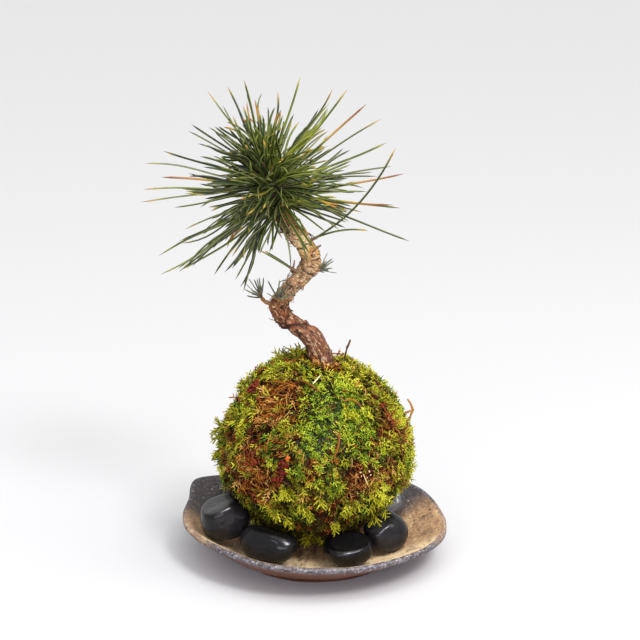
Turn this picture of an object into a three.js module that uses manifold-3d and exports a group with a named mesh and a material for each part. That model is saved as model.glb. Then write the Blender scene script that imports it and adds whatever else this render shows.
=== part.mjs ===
// A kokedama: a young black pine rooted in a ball of soil, the soil wrapped in moss and tied with thread,
// set on a wavy stoneware dish among polished black pebbles.
// Millimetres, +Z up. The dish's foot stands on z = 0.
import * as THREE from "three";
import { mergeVertices } from "three/addons/utils/BufferGeometryUtils.js";
import Module from "manifold-3d";

const wasm = await Module();
wasm.setup();

// Driving dimensions
const gap = 0.3; // clearance kept between neighbouring pieces
const ballCentre = new THREE.Vector3(0, 0, 56.5); // centre of the moss ball over the dish's centre
const soilRadius = 39.5;
const mossRadius = 46.8; // to the foot of the moss tufts
const tuftHeight = 3.1;
const dishFloor = 8; // height of the dish's inside floor
const dishRimRadius = 64; // of the round dish that the wavy one is drawn from
const dishRimHeight = 16;
const footRadius = 37;
const needleThickness = 1.25;

const colours = {
  stoneware: { color: 0x6b5a48, roughness: 0.75, metalness: 0 },
  pebble: { color: 0x17161a, roughness: 0.25, metalness: 0 },
  soil: { color: 0x2a1f18, roughness: 1, metalness: 0 },
  moss: { color: 0x6f8a1e, roughness: 0.95, metalness: 0 },
  bark: { color: 0x9a7350, roughness: 0.9, metalness: 0 },
  needle: { color: 0x3f5a28, roughness: 0.6, metalness: 0 },
  youngNeedle: { color: 0x56625a, roughness: 0.7, metalness: 0 },
  thread: { color: 0x1c1512, roughness: 0.8, metalness: 0 },
  dryTwig: { color: 0x7a4a22, roughness: 0.85, metalness: 0 },
};

// A repeatable draw from 0 to 1 for item i and purpose k
function chance(i, k) {
  const wave = Math.sin(i * 12.9898 + k * 78.233) * 43758.5453;
  return wave - Math.floor(wave);
}

function between(low, high, share) {
  return low + (high - low) * share;
}

function easeIn(low, high, x) {
  const t = Math.min(1, Math.max(0, (x - low) / (high - low)));
  return t * t * (3 - 2 * t);
}

function vector(point) {
  return new THREE.Vector3(...point);
}

// Solids and meshes
function positionsOnly(geometry) {
  geometry.deleteAttribute("normal");
  geometry.deleteAttribute("uv");
  return mergeVertices(geometry, 1e-4);
}

function toSolid(geometry) {
  const merged = positionsOnly(geometry);
  const kept = [];
  for (let i = 0; i < merged.index.count; i += 3) {
    const corners = [0, 1, 2].map((k) => merged.index.getX(i + k));
    if (new Set(corners).size === 3) kept.push(...corners);
  }
  const mesh = new wasm.Mesh({
    numProp: 3,
    vertProperties: new Float32Array(merged.attributes.position.array),
    triVerts: new Uint32Array(kept),
  });
  return new wasm.Manifold(mesh);
}

function toGeometry(solid) {
  const mesh = solid.getMesh();
  const geometry = new THREE.BufferGeometry();
  geometry.setAttribute("position", new THREE.BufferAttribute(mesh.vertProperties, 3));
  geometry.setIndex(new THREE.BufferAttribute(mesh.triVerts, 1));
  geometry.computeVertexNormals();
  return geometry;
}

function largestBody(solid) {
  return solid.decompose().sort((a, b) => b.volume() - a.volume())[0];
}

function join(solids) {
  return wasm.Manifold.union(solids);
}

const part = new THREE.Group();

function addNode(name, solid, finish) {
  const mesh = new THREE.Mesh(toGeometry(solid), new THREE.MeshStandardMaterial(colours[finish]));
  mesh.name = name;
  part.add(mesh);
}

// A rod or cone bent along a curve. radiusAt(t, angle) gives its radius at share t of its length.
function stem(curve, radiusAt, sides, steps, pointed = false) {
  const shape = pointed
    ? new THREE.ConeGeometry(1, 1, sides, steps)
    : new THREE.CylinderGeometry(1, 1, 1, sides, steps);
  const frames = curve.computeFrenetFrames(steps, false);
  const positions = shape.attributes.position;
  for (let i = 0; i < positions.count; i++) {
    const across = new THREE.Vector2(positions.getX(i), positions.getZ(i));
    const t = positions.getY(i) + 0.5;
    const ring = Math.round(t * steps);
    const radius = across.length() > 1e-6 ? radiusAt(t, across.angle()) : 0;
    across.normalize().multiplyScalar(radius);
    const point = curve
      .getPointAt(t)
      .addScaledVector(frames.normals[ring], across.x)
      .addScaledVector(frames.binormals[ring], -across.y);
    positions.setXYZ(i, point.x, point.y, point.z);
  }
  return toSolid(shape);
}

// The points of a line whose two ends are carried on by a length
function carriedOn(points, by) {
  const line = points.map(vector);
  const last = line.length - 1;
  const before = line[0].clone().sub(line[1]).setLength(by);
  const after = line[last].clone().sub(line[last - 1]).setLength(by);
  line[0].add(before);
  line[last].add(after);
  return line;
}

function smoothCurve(points, extra = 0) {
  return new THREE.CatmullRomCurve3(carriedOn(points, extra), false, "centripetal");
}

// A straight twig. extra grows it all round, for the hole that it stands in
function rod([foot, tip, radius], extra = 0) {
  const [start, end] = carriedOn([foot, tip], extra);
  return stem(new THREE.LineCurve3(start, end), () => radius + extra, 5, 1);
}

// The value at share t of a list of evenly spaced values
function alongList(values, t) {
  const place = Math.min(values.length - 1.000001, Math.max(0, t * (values.length - 1)));
  const start = Math.floor(place);
  return between(values[start], values[start + 1], place - start);
}

// Dish: a lathe profile whose rim is then drawn out and lifted into soft corners
// Each row is the direction in degrees (0 is +X, 90 is the back), the rim's radius and its height.
const rimOutline = [
  [-15, 65.6, 17.4],
  [15, 65.8, 18.4],
  [45, 69.6, 20.5],
  [75, 66, 18.5],
  [115, 65.5, 19],
  [143, 77.4, 24.3],
  [160, 70, 21.4],
  [180, 67, 20],
  [202, 64.2, 20.1],
  [222, 62.6, 20.4],
  [245, 62.6, 19],
  [270, 63.2, 18.3],
  [292, 63.2, 17.8],
  [318, 64, 17.6],
];

function rimAt(angle) {
  const degrees = THREE.MathUtils.radToDeg(angle);
  const rows = rimOutline.length;
  for (let i = 0; i < rows; i++) {
    const from = rimOutline[i][0];
    const to = rimOutline[(i + 1) % rows][0] + (i + 1 === rows ? 360 : 0);
    const turned = THREE.MathUtils.euclideanModulo(degrees - from, 360);
    if (turned < to - from) {
      const t = turned / (to - from);
      const row = (k) => rimOutline[THREE.MathUtils.euclideanModulo(i + k, rows)];
      const blend = (column) =>
        cubic(row(-1)[column], row(0)[column], row(1)[column], row(2)[column], t);
      return { radius: blend(1), height: blend(2) };
    }
  }
}

function cubic(before, start, end, after, t) {
  const slopeIn = (end - before) / 2;
  const slopeOut = (after - start) / 2;
  const t2 = t * t;
  const t3 = t2 * t;
  return (
    (2 * t3 - 3 * t2 + 1) * start +
    (t3 - 2 * t2 + t) * slopeIn +
    (3 * t2 - 2 * t3) * end +
    (t3 - t2) * slopeOut
  );
}

// Inside of the dish as [radius, height], from the middle out to the rim's inner edge
const insideProfile = [
  [0, dishFloor],
  [20, dishFloor],
  [33, 8.5],
  [43, 10],
  [52, 12.6],
  [58, 14.7],
  [61, 15.7],
];
// Lip, underside and foot ring, from the rim back to the middle
const outsideProfile = [
  [62.7, 16.2],
  [64, 15.5],
  [64.4, 14.2],
  [62.9, 12.9],
  [54, 9.1],
  [45, 5.4],
  [38.6, 2.8],
  [footRadius, 1.7],
  [footRadius - 0.3, 0],
  [footRadius - 4, 0],
  [footRadius - 5.4, 2.8],
  [0, 3.4],
];

// Moves a point of the round dish to its place on the wavy one
function drawnOut(x, y, z) {
  const radius = Math.hypot(x, y);
  const rim = rimAt(Math.atan2(y, x));
  const outward = easeIn(footRadius + 2, dishRimRadius, radius);
  const scale = 1 + (rim.radius / dishRimRadius - 1) * outward;
  const lift = (rim.height - dishRimHeight) * outward * outward;
  return [x * scale, y * scale, z + lift];
}

function makeDish() {
  const profile = [...insideProfile, ...outsideProfile].reverse();
  const lathe = new THREE.LatheGeometry(
    profile.map(([radius, height]) => new THREE.Vector2(radius, height)),
    52,
  );
  lathe.rotateX(Math.PI / 2);
  const positions = lathe.attributes.position;
  for (let i = 0; i < positions.count; i++) {
    positions.setXYZ(i, ...drawnOut(positions.getX(i), positions.getY(i), positions.getZ(i)));
  }
  return toSolid(lathe);
}

// Height of the dish's inside surface at a point
function dishSurface(x, y) {
  const angle = Math.atan2(y, x);
  const rim = rimAt(angle);
  const target = Math.hypot(x, y);
  let radius = target;
  for (let i = 0; i < 12; i++) {
    const outward = easeIn(footRadius + 2, dishRimRadius, radius);
    radius = target / (1 + (rim.radius / dishRimRadius - 1) * outward);
  }
  const outward = easeIn(footRadius + 2, dishRimRadius, radius);
  let height = insideProfile[insideProfile.length - 1][1];
  for (let i = 0; i + 1 < insideProfile.length; i++) {
    const [r0, z0] = insideProfile[i];
    const [r1, z1] = insideProfile[i + 1];
    if (radius >= r0 && radius <= r1) height = between(z0, z1, (radius - r0) / (r1 - r0));
  }
  return height + (rim.height - dishRimHeight) * outward * outward;
}

// Pebbles: flattened, slightly uneven rounds with worn flats, each let down onto the dish
// at is where the middle lies, half its half sizes, turn its heading, lean how far it is tipped up.
// Each flat is the heading and the height in degrees that it faces, and how far out it lies as a share.
const pebbles = [
  { at: [-45, -16.4], half: [12, 12.2, 11.2], turn: 195, lean: 4, flats: [[200, 66, 0.75], [-66, 12, 0.86]] },
  { at: [-22.6, -34.5], half: [15, 10.5, 8], turn: -24, lean: 13, flats: [[50, 72, 0.7], [-112, 16, 0.84]] },
  { at: [16.2, -37.8], half: [12.2, 11.2, 6.4], turn: 8, lean: 13, flats: [[-80, 76, 0.74], [-60, 0, 0.9]] },
  { at: [34.4, -18.8], half: [11, 11.2, 8.6], turn: 38, lean: 16, flats: [[-150, 56, 0.8], [-70, 10, 0.86]] },
  { at: [36.6, 18.6], half: [9.4, 8.6, 9.4], turn: 95, lean: 26, flats: [[-80, 34, 0.78], [30, 50, 0.85]] },
  { at: [-41.5, 25], half: [12.5, 11.5, 7.4], turn: 150, lean: 54, flats: [[215, 24, 0.84]] },
  { at: [-15, 43], half: [13, 10.5, 8], turn: 20, lean: 14, flats: [[80, 66, 0.78], [120, 10, 0.88]] },
  { at: [16, 42], half: [12, 10, 7.4], turn: -25, lean: 16, flats: [[60, 70, 0.76]] },
];
const pebbleBoxiness = 2.35; // 2 is an ellipsoid, more has flatter faces
const flatEdge = 15; // how crisp the edge of a worn flat is

// extra grows a pebble all round, for the dent that it presses into the moss
function makePebble({ at, half, turn, lean, flats }, index, extra = 0) {
  const shape = new THREE.IcosahedronGeometry(1, 3);
  const positions = shape.attributes.position;
  const outwards = Math.atan2(at[1], at[0]);
  const spin = THREE.MathUtils.degToRad(turn);
  const tilt = new THREE.Quaternion().setFromAxisAngle(
    new THREE.Vector3(-Math.sin(outwards), Math.cos(outwards), 0),
    THREE.MathUtils.degToRad(lean),
  );
  const turned = tilt.multiply(new THREE.Quaternion().setFromAxisAngle(new THREE.Vector3(0, 0, 1), spin));
  const worn = flats.map(([heading, height, share]) => {
    const [h, v] = [heading, height].map(THREE.MathUtils.degToRad);
    const facing = new THREE.Vector3(Math.cos(h) * Math.cos(v), Math.sin(h) * Math.cos(v), Math.sin(v));
    facing.applyQuaternion(turned.clone().invert()).multiply(vector(half)).normalize();
    return { facing, share };
  });
  let drop = Infinity;
  for (let i = 0; i < positions.count; i++) {
    const d = new THREE.Vector3().fromBufferAttribute(positions, i).normalize();
    const squares = d.toArray().reduce((sum, v) => sum + Math.abs(v) ** pebbleBoxiness, 0);
    const boxy = squares ** (1 / pebbleBoxiness);
    const flat = worn.map(({ facing, share }) => Math.max(0, facing.dot(d)) / share);
    const inward = [boxy, ...flat].reduce((sum, v) => sum + v ** flatEdge, 0) ** (1 / flatEdge);
    const uneven =
      1 +
      0.04 * Math.sin(2.1 * d.x + 1.7 * d.y + index * 1.9) +
      0.03 * Math.sin(3.3 * d.y - 2.3 * d.z + index * 2.7);
    const point = new THREE.Vector3(d.x * half[0], d.y * half[1], d.z * half[2])
      .multiplyScalar(uneven / inward)
      .applyQuaternion(turned);
    drop = Math.min(drop, point.z - dishSurface(at[0] + point.x, at[1] + point.y));
    point.addScaledVector(point.clone().normalize(), extra);
    positions.setXYZ(i, at[0] + point.x, at[1] + point.y, point.z);
  }
  shape.translate(0, 0, gap + 0.25 - drop);
  return toSolid(shape);
}

// Binding thread: one thread wound round the ball, which draws the moss in under it
const threadRadius = 0.35;
const threadWindings = 4;
const threadTilt = 74; // degrees from level
const threadHeading = 62;
const threadSteps = 112;
const threadSamples = 320;
const threadDepth = 0.9;

function threadDirection(share) {
  const wound = share * threadWindings * Math.PI * 2;
  const heading = THREE.MathUtils.degToRad(threadHeading) + share * Math.PI * 2;
  return new THREE.Vector3(Math.cos(wound), Math.sin(wound), 0)
    .applyAxisAngle(new THREE.Vector3(1, 0, 0), THREE.MathUtils.degToRad(threadTilt))
    .applyAxisAngle(new THREE.Vector3(0, 0, 1), heading);
}

const threadDirections = [];
for (let i = 0; i < threadSamples; i++) threadDirections.push(threadDirection(i / threadSamples));

// 1 under the thread, 0 well away from it
function pressedBy(direction) {
  const nearest = Math.max(...threadDirections.map((other) => other.dot(direction)));
  const apart = THREE.MathUtils.radToDeg(Math.acos(Math.min(1, nearest)));
  return 1 - easeIn(5.2, 9, apart);
}

function makeThread() {
  const path = new THREE.CatmullRomCurve3(
    threadDirections.map((direction) => {
      const reach = mossReach(direction) - threadDepth + threadRadius + gap + 0.66;
      return ballCentre.clone().addScaledVector(direction, reach);
    }),
    true,
  );
  const round = new THREE.Shape();
  round.absarc(0, 0, threadRadius, 0, Math.PI * 2);
  const options = { steps: threadSteps, curveSegments: 2, bevelEnabled: false, extrudePath: path };
  return toSolid(new THREE.ExtrudeGeometry(round, options));
}

// Soil and moss: rounds about one centre, with the moss drawn in where it sits between the pebbles
const thinSide = vector([0.74, -0.16, -0.65]).normalize(); // low on the right, where the moss is thin

function soilReach(direction) {
  const lumps =
    0.5 * Math.sin(5 * direction.x + 2 * direction.z) + 0.4 * Math.sin(6 * direction.y - direction.x);
  return soilRadius + lumps - 2.5 * easeIn(0.3, 0.9, -direction.z);
}

function mossReach(direction) {
  const lumps =
    0.7 * Math.sin(4 * direction.x + 3 * direction.z + 1) +
    0.6 * Math.sin(5 * direction.y - 3 * direction.x) +
    0.4 * Math.sin(9 * direction.z + 7 * direction.x);
  const down = -direction.z;
  const drawnIn = 2.6 * easeIn(0.25, 0.65, down) * (1 - easeIn(0.8, 0.99, down));
  const thin = 3 * easeIn(0.86, 0.985, direction.dot(thinSide));
  return mossRadius + lumps - drawnIn - thin;
}

// Every vertex is the tip of a tuft or the hollow beside one
function tuftedReach(direction, index) {
  const tip = chance(index, 1);
  const tuft = tuftHeight * (tip > 0.5 ? tip : 0.15 * tip);
  const pressed = pressedBy(direction);
  return mossReach(direction) + tuft * (1 - pressed) - threadDepth * pressed;
}

function roundBody(detail, reach) {
  const shape = positionsOnly(new THREE.IcosahedronGeometry(1, detail));
  const positions = shape.attributes.position;
  for (let i = 0; i < positions.count; i++) {
    const direction = new THREE.Vector3().fromBufferAttribute(positions, i).normalize();
    const point = ballCentre.clone().addScaledVector(direction, reach(direction, i));
    positions.setXYZ(i, point.x, point.y, Math.max(point.z, dishFloor + gap));
  }
  return toSolid(shape);
}

const soilDetail = 4;
const mossDetail = 9;

// Trunk: the line that it follows, from its foot in the soil to the crown
const trunkLine = [
  [6.5, 0.6, 80],
  [5.4, 0.5, 91],
  [3, 0.4, 102],
  [1, 0.2, 108.6],
  [-2.3, -0.4, 115.2],
  [-9.2, -0.8, 120.5],
  [-15.6, -1.2, 125.2],
  [-18.2, -1.5, 131.2],
  [-15.2, -1, 136.6],
  [-10.9, 0, 141.6],
  [-5.2, 1, 147.4],
  [-2.2, 1.6, 154],
  [-6, 1.2, 161.8],
  [-12.6, 0.4, 170],
  [-15.8, 0, 176],
  [-17, -0.2, 180.6],
];
const trunkRadii = [5, 6.4, 6.3, 5.9, 5.4, 4.7, 4.3, 4.4, 4.1, 4, 4.2, 4.7, 4.4, 4.3, 4.1, 3.9];
const trunkSteps = 44;

function barkRelief(t, angle) {
  const plates = Math.sin(angle * 3 + t * 61) * Math.sin(t * 97 + angle);
  return 1 + 0.045 * plates + 0.03 * Math.sin(t * 173 + angle * 2);
}

// extra widens the trunk, for the hole that it stands in
function makeTrunk(extra) {
  return stem(
    smoothCurve(trunkLine, extra),
    (t, angle) => alongList(trunkRadii, t) * (extra ? 1.08 : barkRelief(t, angle)) + extra,
    10,
    trunkSteps,
  );
}

// Short dead stubs that the needles left on the trunk: foot, tip and radius
const deadStubs = [
  [[-9.4, -0.5, 144.5], [-12.4, -1.4, 149.2], 0.9],
  [[-11.6, -0.4, 149], [-10.4, -0.8, 154], 0.6],
  [[-1.6, 1, 158.4], [2.4, 0.6, 161.2], 0.9],
  [[-2.4, -1.5, 156.4], [-0.6, -6.6, 157.4], 1],
  [[-13.4, -2, 127], [-12.4, -8, 128.6], 1],
  [[-7, 0, 165], [-12, -0.6, 163.8], 0.7],
];

// Needles: three-sided, tapered and bowed a little
function needle(foot, tip, bow, thickness, steps) {
  const middle = foot.clone().lerp(tip, 0.5).add(bow);
  const curve = new THREE.QuadraticBezierCurve3(foot, middle, tip);
  return stem(curve, (t) => (thickness / 2) * (1 - 0.4 * t * t), 3, steps, true);
}

// Crown: one shoot set all round with needles in pairs, the longest low down
const shootLine = [[-16.8, -0.4, 180.6], [-19.3, -0.6, 187.5], [-22.6, -1.2, 195], [-25, -2, 202.5]];
const shootRadii = [3.9, 4.3, 4, 2.6];
const shootCurve = smoothCurve(shootLine);
const shootAxis = vector(shootLine[3]).sub(vector(shootLine[0])).normalize();
const [shootAcross, shootForward] = sideways(shootAxis);
const pairCount = 92;
const widestOpening = 122; // degrees from the shoot's own heading
const reachByOpening = [32, 33, 36, 42, 45, 44];
const goldenTurn = 2.39996;

function sideways(axis) {
  const first = new THREE.Vector3(0, 1, 0).cross(axis).normalize();
  return [first, axis.clone().cross(first)];
}

// A needle that opens wide grows low on the shoot, one that points ahead grows at its tip
function needleFoot(opening, stray = 0) {
  const share = 0.96 - 0.86 * Math.min(1, opening / widestOpening) ** 0.9 + stray;
  return shootCurve.getPointAt(Math.min(0.96, Math.max(0.1, share)));
}

function pairDirection(opening, turn) {
  return shootAxis
    .clone()
    .multiplyScalar(Math.cos(opening))
    .addScaledVector(shootAcross, Math.sin(opening) * Math.cos(turn))
    .addScaledVector(shootForward, Math.sin(opening) * Math.sin(turn));
}

function needlePair(i) {
  const narrowest = Math.cos(THREE.MathUtils.degToRad(widestOpening));
  const level = 1 - (1 - narrowest) * ((i + 0.5) / pairCount);
  const opening = Math.abs(Math.acos(level) + 0.3 * (chance(i, 2) - 0.5));
  const turn = i * goldenTurn + 0.4 * (chance(i, 3) - 0.5);
  const direction = pairDirection(opening, turn);
  const apart = pairDirection(opening, turn + 0.1).sub(direction).normalize();
  const foot = needleFoot(THREE.MathUtils.radToDeg(opening), 0.4 * (chance(i, 9) - 0.5));
  const outlier = chance(i, 4) > 0.82 ? 1.25 : 1;
  const reach = alongList(reachByOpening, opening / 2.34) * between(0.74, 1.14, chance(i, 5)) * outlier;
  // it leaves the shoot at a sharp angle and then bends outwards
  const arch = Math.sin(opening) * between(-3, 8, chance(i, 6));
  const swing = between(-4, 4, chance(i, 10));
  const bow = shootAxis.clone().multiplyScalar(arch).addScaledVector(apart, swing);
  return [-1, 1].map((side) => {
    const start = foot.clone().addScaledVector(apart, side * 0.66);
    const end = foot
      .clone()
      .addScaledVector(direction, reach * (1 + 0.05 * side * (chance(i, 7) - 0.5)))
      .addScaledVector(apart, side * between(1.6, 4.5, chance(i, 8)));
    return needle(start, end, bow, needleThickness, 3);
  });
}

// Tips of the long needles that stand out of the tuft, each with its bow upwards
const longTips = [
  [-51.1, -8, 238.2, 0],
  [-42.4, 10, 237.5, 0],
  [-33.7, -12, 244.3, 0],
  [-18.2, 4, 236, 0],
  [-7.4, 4, 243.1, 0],
  [8.2, -8, 239.9, 0],
  [15.3, 6, 237, -2],
  [24.7, 8, 229.5, 0],
  [31.5, -6, 224.9, 2],
  [34.5, 8, 210.6, 2],
  [36.4, -8, 202.1, 5],
  [43.2, 6, 195.7, 0],
  [37.2, -10, 183.7, 2],
  [41.2, 4, 178.9, 3],
  [45.7, -4, 164.2, 6],
  [-81.5, -10, 203.9, 1],
  [-74.1, 8, 206.4, 0],
  [-84.1, 6, 187.7, 0],
  [-84.4, -8, 184.5, 2],
  [-73.4, -16, 198.5, 0],
  [-67.1, -22, 185.1, 0],
  [-64.8, 16, 165.3, 2],
  [-69.9, -12, 163, 0],
  [-77.4, 6, 154.2, 0],
  [-75.7, -6, 148.2, -2],
  [-65.8, -14, 152.2, -8],
  [-39.3, -6, 145.3, 2],
  [-34.1, 10, 150.8, 3],
  [4.9, -24, 173.7, 3],
  [-3.3, -14, 169.2, 4],
  [22.9, 16, 174, 4],
];

function longNeedle([x, y, z, bow]) {
  const tip = new THREE.Vector3(x, y, z);
  const outward = tip.clone().sub(shootCurve.getPointAt(0.4)).normalize();
  const opening = THREE.MathUtils.radToDeg(outward.angleTo(shootAxis));
  return needle(needleFoot(opening), tip, new THREE.Vector3(0, 0, bow), needleThickness, 3);
}

function makeCrown(trunkHole) {
  const core = stem(shootCurve, (t) => alongList(shootRadii, t), 8, 4);
  const pairs = [];
  for (let i = 0; i < pairCount; i++) pairs.push(...needlePair(i));
  return largestBody(join([core, ...pairs, ...longTips.map(longNeedle)]).subtract(trunkHole));
}

// Sprigs of short young needles low on the trunk
// line is the twig, aim the middle heading of its needles, fan how wide they open
const sprigs = [
  {
    name: "sprig_left",
    line: [[-20, -1.6, 131.6], [-25, -2.4, 133.8], [-27.8, -3.2, 138]],
    aim: [-0.45, -0.15, 0.9],
    fan: 50, needles: 10, reach: 10,
  },
  {
    name: "sprig_front",
    line: [[-17.4, -3, 134], [-18, -7, 135.4], [-18.4, -8.8, 137.6]],
    aim: [0.15, -0.35, 0.9],
    fan: 60, needles: 9, reach: 10.5,
  },
  {
    name: "sprig_right",
    line: [[-3, 0.6, 149.6], [0.8, -0.6, 149], [2.6, -1.2, 149.8]],
    aim: [0.85, -0.2, 0.5],
    fan: 52, needles: 8, reach: 8.8,
  },
];

function makeSprig({ line, aim, fan, needles, reach }, number, trunkHole) {
  const curve = smoothCurve(line);
  const twig = stem(curve, (t) => between(1.15, 0.8, t), 6, 4);
  const axis = vector(aim).normalize();
  const [first, second] = sideways(axis);
  const blades = [];
  for (let i = 0; i < needles; i++) {
    const turn = i * goldenTurn + number;
    const opened = THREE.MathUtils.degToRad(fan) * Math.sqrt((i + 0.5) / needles);
    const direction = first
      .clone()
      .multiplyScalar(Math.cos(turn))
      .addScaledVector(second, Math.sin(turn))
      .multiplyScalar(Math.sin(opened))
      .addScaledVector(axis, Math.cos(opened));
    const start = curve.getPointAt(0.74 + 0.2 * chance(i, 11 + number));
    const end = start.clone().addScaledVector(direction, reach * (0.85 + 0.3 * chance(i, 12 + number)));
    blades.push(needle(start, end, new THREE.Vector3(), 0.8, 1));
  }
  return largestBody(join([twig, ...blades]).subtract(trunkHole));
}

// Long needles that grow straight out of the trunk, held at their foot by a sheath
const loneNeedles = [
  {
    name: "lone_needles_left",
    foot: [-8, -1, 147.6],
    sheathTip: [-13.6, -2.4, 151.6],
    tips: [[-27, -5, 160.2, 0.4], [-24.6, -8.6, 160.6, 0.4]],
  },
  {
    name: "lone_needles_right",
    foot: [-6.4, 0.2, 161.8],
    sheathTip: [0.8, 0, 165.6],
    tips: [[25.3, 0, 168.7, 3], [37.4, -30, 216, -6]],
  },
];

function makeLoneNeedles({ foot, sheathTip, tips }, trunkHole) {
  const root = vector(foot);
  const sheathEnd = vector(sheathTip);
  const sheath = rod([foot, sheathTip, 1.1]);
  const start = root.clone().lerp(sheathEnd, 0.85);
  const blades = tips.map(([x, y, z, bow]) =>
    needle(start, new THREE.Vector3(x, y, z), new THREE.Vector3(0, 0, bow), needleThickness, 3),
  );
  return largestBody(join([sheath, ...blades]).subtract(trunkHole));
}

// Dry twigs caught in the moss, each standing in a hole of its own: foot, tip and radius of their rods
const mossTwigs = [
  {
    name: "dry_twig_right",
    rods: [
      [[38.5, -3.4, 75.4], [48.3, -4, 78.4], 0.7],
      [[48, -4, 78.4], [45.3, -4.6, 84.2], 0.6],
      [[48, -4, 78.4], [46.4, -3.6, 72.8], 0.6],
    ],
  },
  {
    name: "dry_twig_top",
    rods: [
      [[13.6, 4.4, 97], [15.4, 3, 108.8], 0.6],
      [[15.3, 3, 108.4], [16.9, 2.8, 112.6], 0.6],
    ],
  },
];

function makeMossTwig({ rods }, extra) {
  return join(rods.map((each) => rod(each, extra)));
}

// Assembly
const trunk = join([makeTrunk(0), ...deadStubs.map((stub) => rod(stub))]);
const trunkHole = join([makeTrunk(gap + 0.1), ...deadStubs.map((stub) => rod(stub, gap))]);
const soil = roundBody(soilDetail, soilReach);
const soilRoom = roundBody(soilDetail, (direction) => soilReach(direction) + gap + 0.1);
const twigHoles = join(mossTwigs.map((twig) => makeMossTwig(twig, gap + 0.1)));
const dents = join(pebbles.map((pebble, i) => makePebble(pebble, i, gap + 0.1)));
const moss = roundBody(mossDetail, tuftedReach).subtract(join([soilRoom, trunkHole, twigHoles, dents]));

addNode("dish", makeDish(), "stoneware");
pebbles.forEach((pebble, i) => addNode(`pebble_${i + 1}`, makePebble(pebble, i), "pebble"));
addNode("soil_ball", largestBody(soil.subtract(trunkHole)), "soil");
addNode("moss_skin", largestBody(moss), "moss");
addNode("binding_thread", makeThread(), "thread");
addNode("trunk", trunk, "bark");
addNode("needle_crown", makeCrown(trunkHole), "needle");
sprigs.forEach((sprig, i) => addNode(sprig.name, makeSprig(sprig, i + 1, trunkHole), "youngNeedle"));
loneNeedles.forEach((pair) => addNode(pair.name, makeLoneNeedles(pair, trunkHole), "needle"));
mossTwigs.forEach((twig) => addNode(twig.name, makeMossTwig(twig, 0), "dryTwig"));

// The origin lies on the table under the middle of the whole object
const bounds = new THREE.Box3().setFromObject(part);
const middle = bounds.getCenter(new THREE.Vector3());
part.position.set(-middle.x, -middle.y, 0);

export default part;
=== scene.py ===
# A kokedama: a young black pine rooted in a tied ball of moss, on a wavy stoneware dish among pebbles.
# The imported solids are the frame. Shapes are worked out in millimetres from the middle of the dish's foot,
# and go into the frame, in metres, as each piece is finished.
import math

import bmesh
import bpy
import numpy as np
from mathutils import Matrix, Vector, noise


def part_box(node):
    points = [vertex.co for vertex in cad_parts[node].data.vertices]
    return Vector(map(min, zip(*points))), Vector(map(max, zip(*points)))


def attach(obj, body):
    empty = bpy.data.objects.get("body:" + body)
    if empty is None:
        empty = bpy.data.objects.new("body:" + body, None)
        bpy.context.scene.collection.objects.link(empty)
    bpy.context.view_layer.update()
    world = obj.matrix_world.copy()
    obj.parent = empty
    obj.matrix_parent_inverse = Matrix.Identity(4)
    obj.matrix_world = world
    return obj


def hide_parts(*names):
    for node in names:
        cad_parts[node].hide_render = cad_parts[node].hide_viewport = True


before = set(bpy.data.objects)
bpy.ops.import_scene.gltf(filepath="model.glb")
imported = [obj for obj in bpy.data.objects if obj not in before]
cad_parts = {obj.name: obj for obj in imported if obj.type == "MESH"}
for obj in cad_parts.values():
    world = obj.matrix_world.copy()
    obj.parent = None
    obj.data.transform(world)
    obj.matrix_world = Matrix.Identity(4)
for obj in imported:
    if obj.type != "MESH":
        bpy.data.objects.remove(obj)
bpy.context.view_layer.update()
scene = bpy.context.scene
noise.seed_set(4)  # left alone, noise_vector would differ each time
print("frame loaded:", len(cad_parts), "solids")

# the middle of the wavy dish's box, seen from the middle of its foot
dishBoxMiddle = (-0.903, 0.926)
dishLow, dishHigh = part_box("dish")
footX = (dishLow.x + dishHigh.x) / 2 - dishBoxMiddle[0] / 1000
footY = (dishLow.y + dishHigh.y) / 2 - dishBoxMiddle[1] / 1000
toFrame = Matrix.Translation((footX, footY, 0)) @ Matrix.Scale(0.001, 4)


# Sums that the pieces share
def chance(i, k):
    # a repeatable draw from 0 to 1 for item i and purpose k, the same as the solids use
    wave = math.sin(i * 12.9898 + k * 78.233) * 43758.5453
    return wave - math.floor(wave)


def between(low, high, share):
    return low + (high - low) * share


def easeIn(low, high, x):
    t = np.clip((x - low) / (high - low), 0, 1)
    return t * t * (3 - 2 * t)


def alongList(values, t):
    return np.interp(t, np.linspace(0, 1, len(values)), values)


def unit(vectors):
    return vectors / np.linalg.norm(vectors, axis=-1, keepdims=True)


def turned(points, axis, angle):
    # points turned about an axis through the origin
    axis = unit(np.array(axis, float))
    c, s = math.cos(angle), math.sin(angle)
    return points * c + np.cross(axis, points) * s + np.outer(points @ axis, axis) * (1 - c)


def curveBetween(start, end, slopeIn, slopeOut, t):
    # a smooth curve from start to end, with the slope it has at each
    return ((2 * t**3 - 3 * t**2 + 1) * start + (t**3 - 2 * t**2 + t) * slopeIn
            + (3 * t**2 - 2 * t**3) * end + (t**3 - t**2) * slopeOut)


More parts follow.
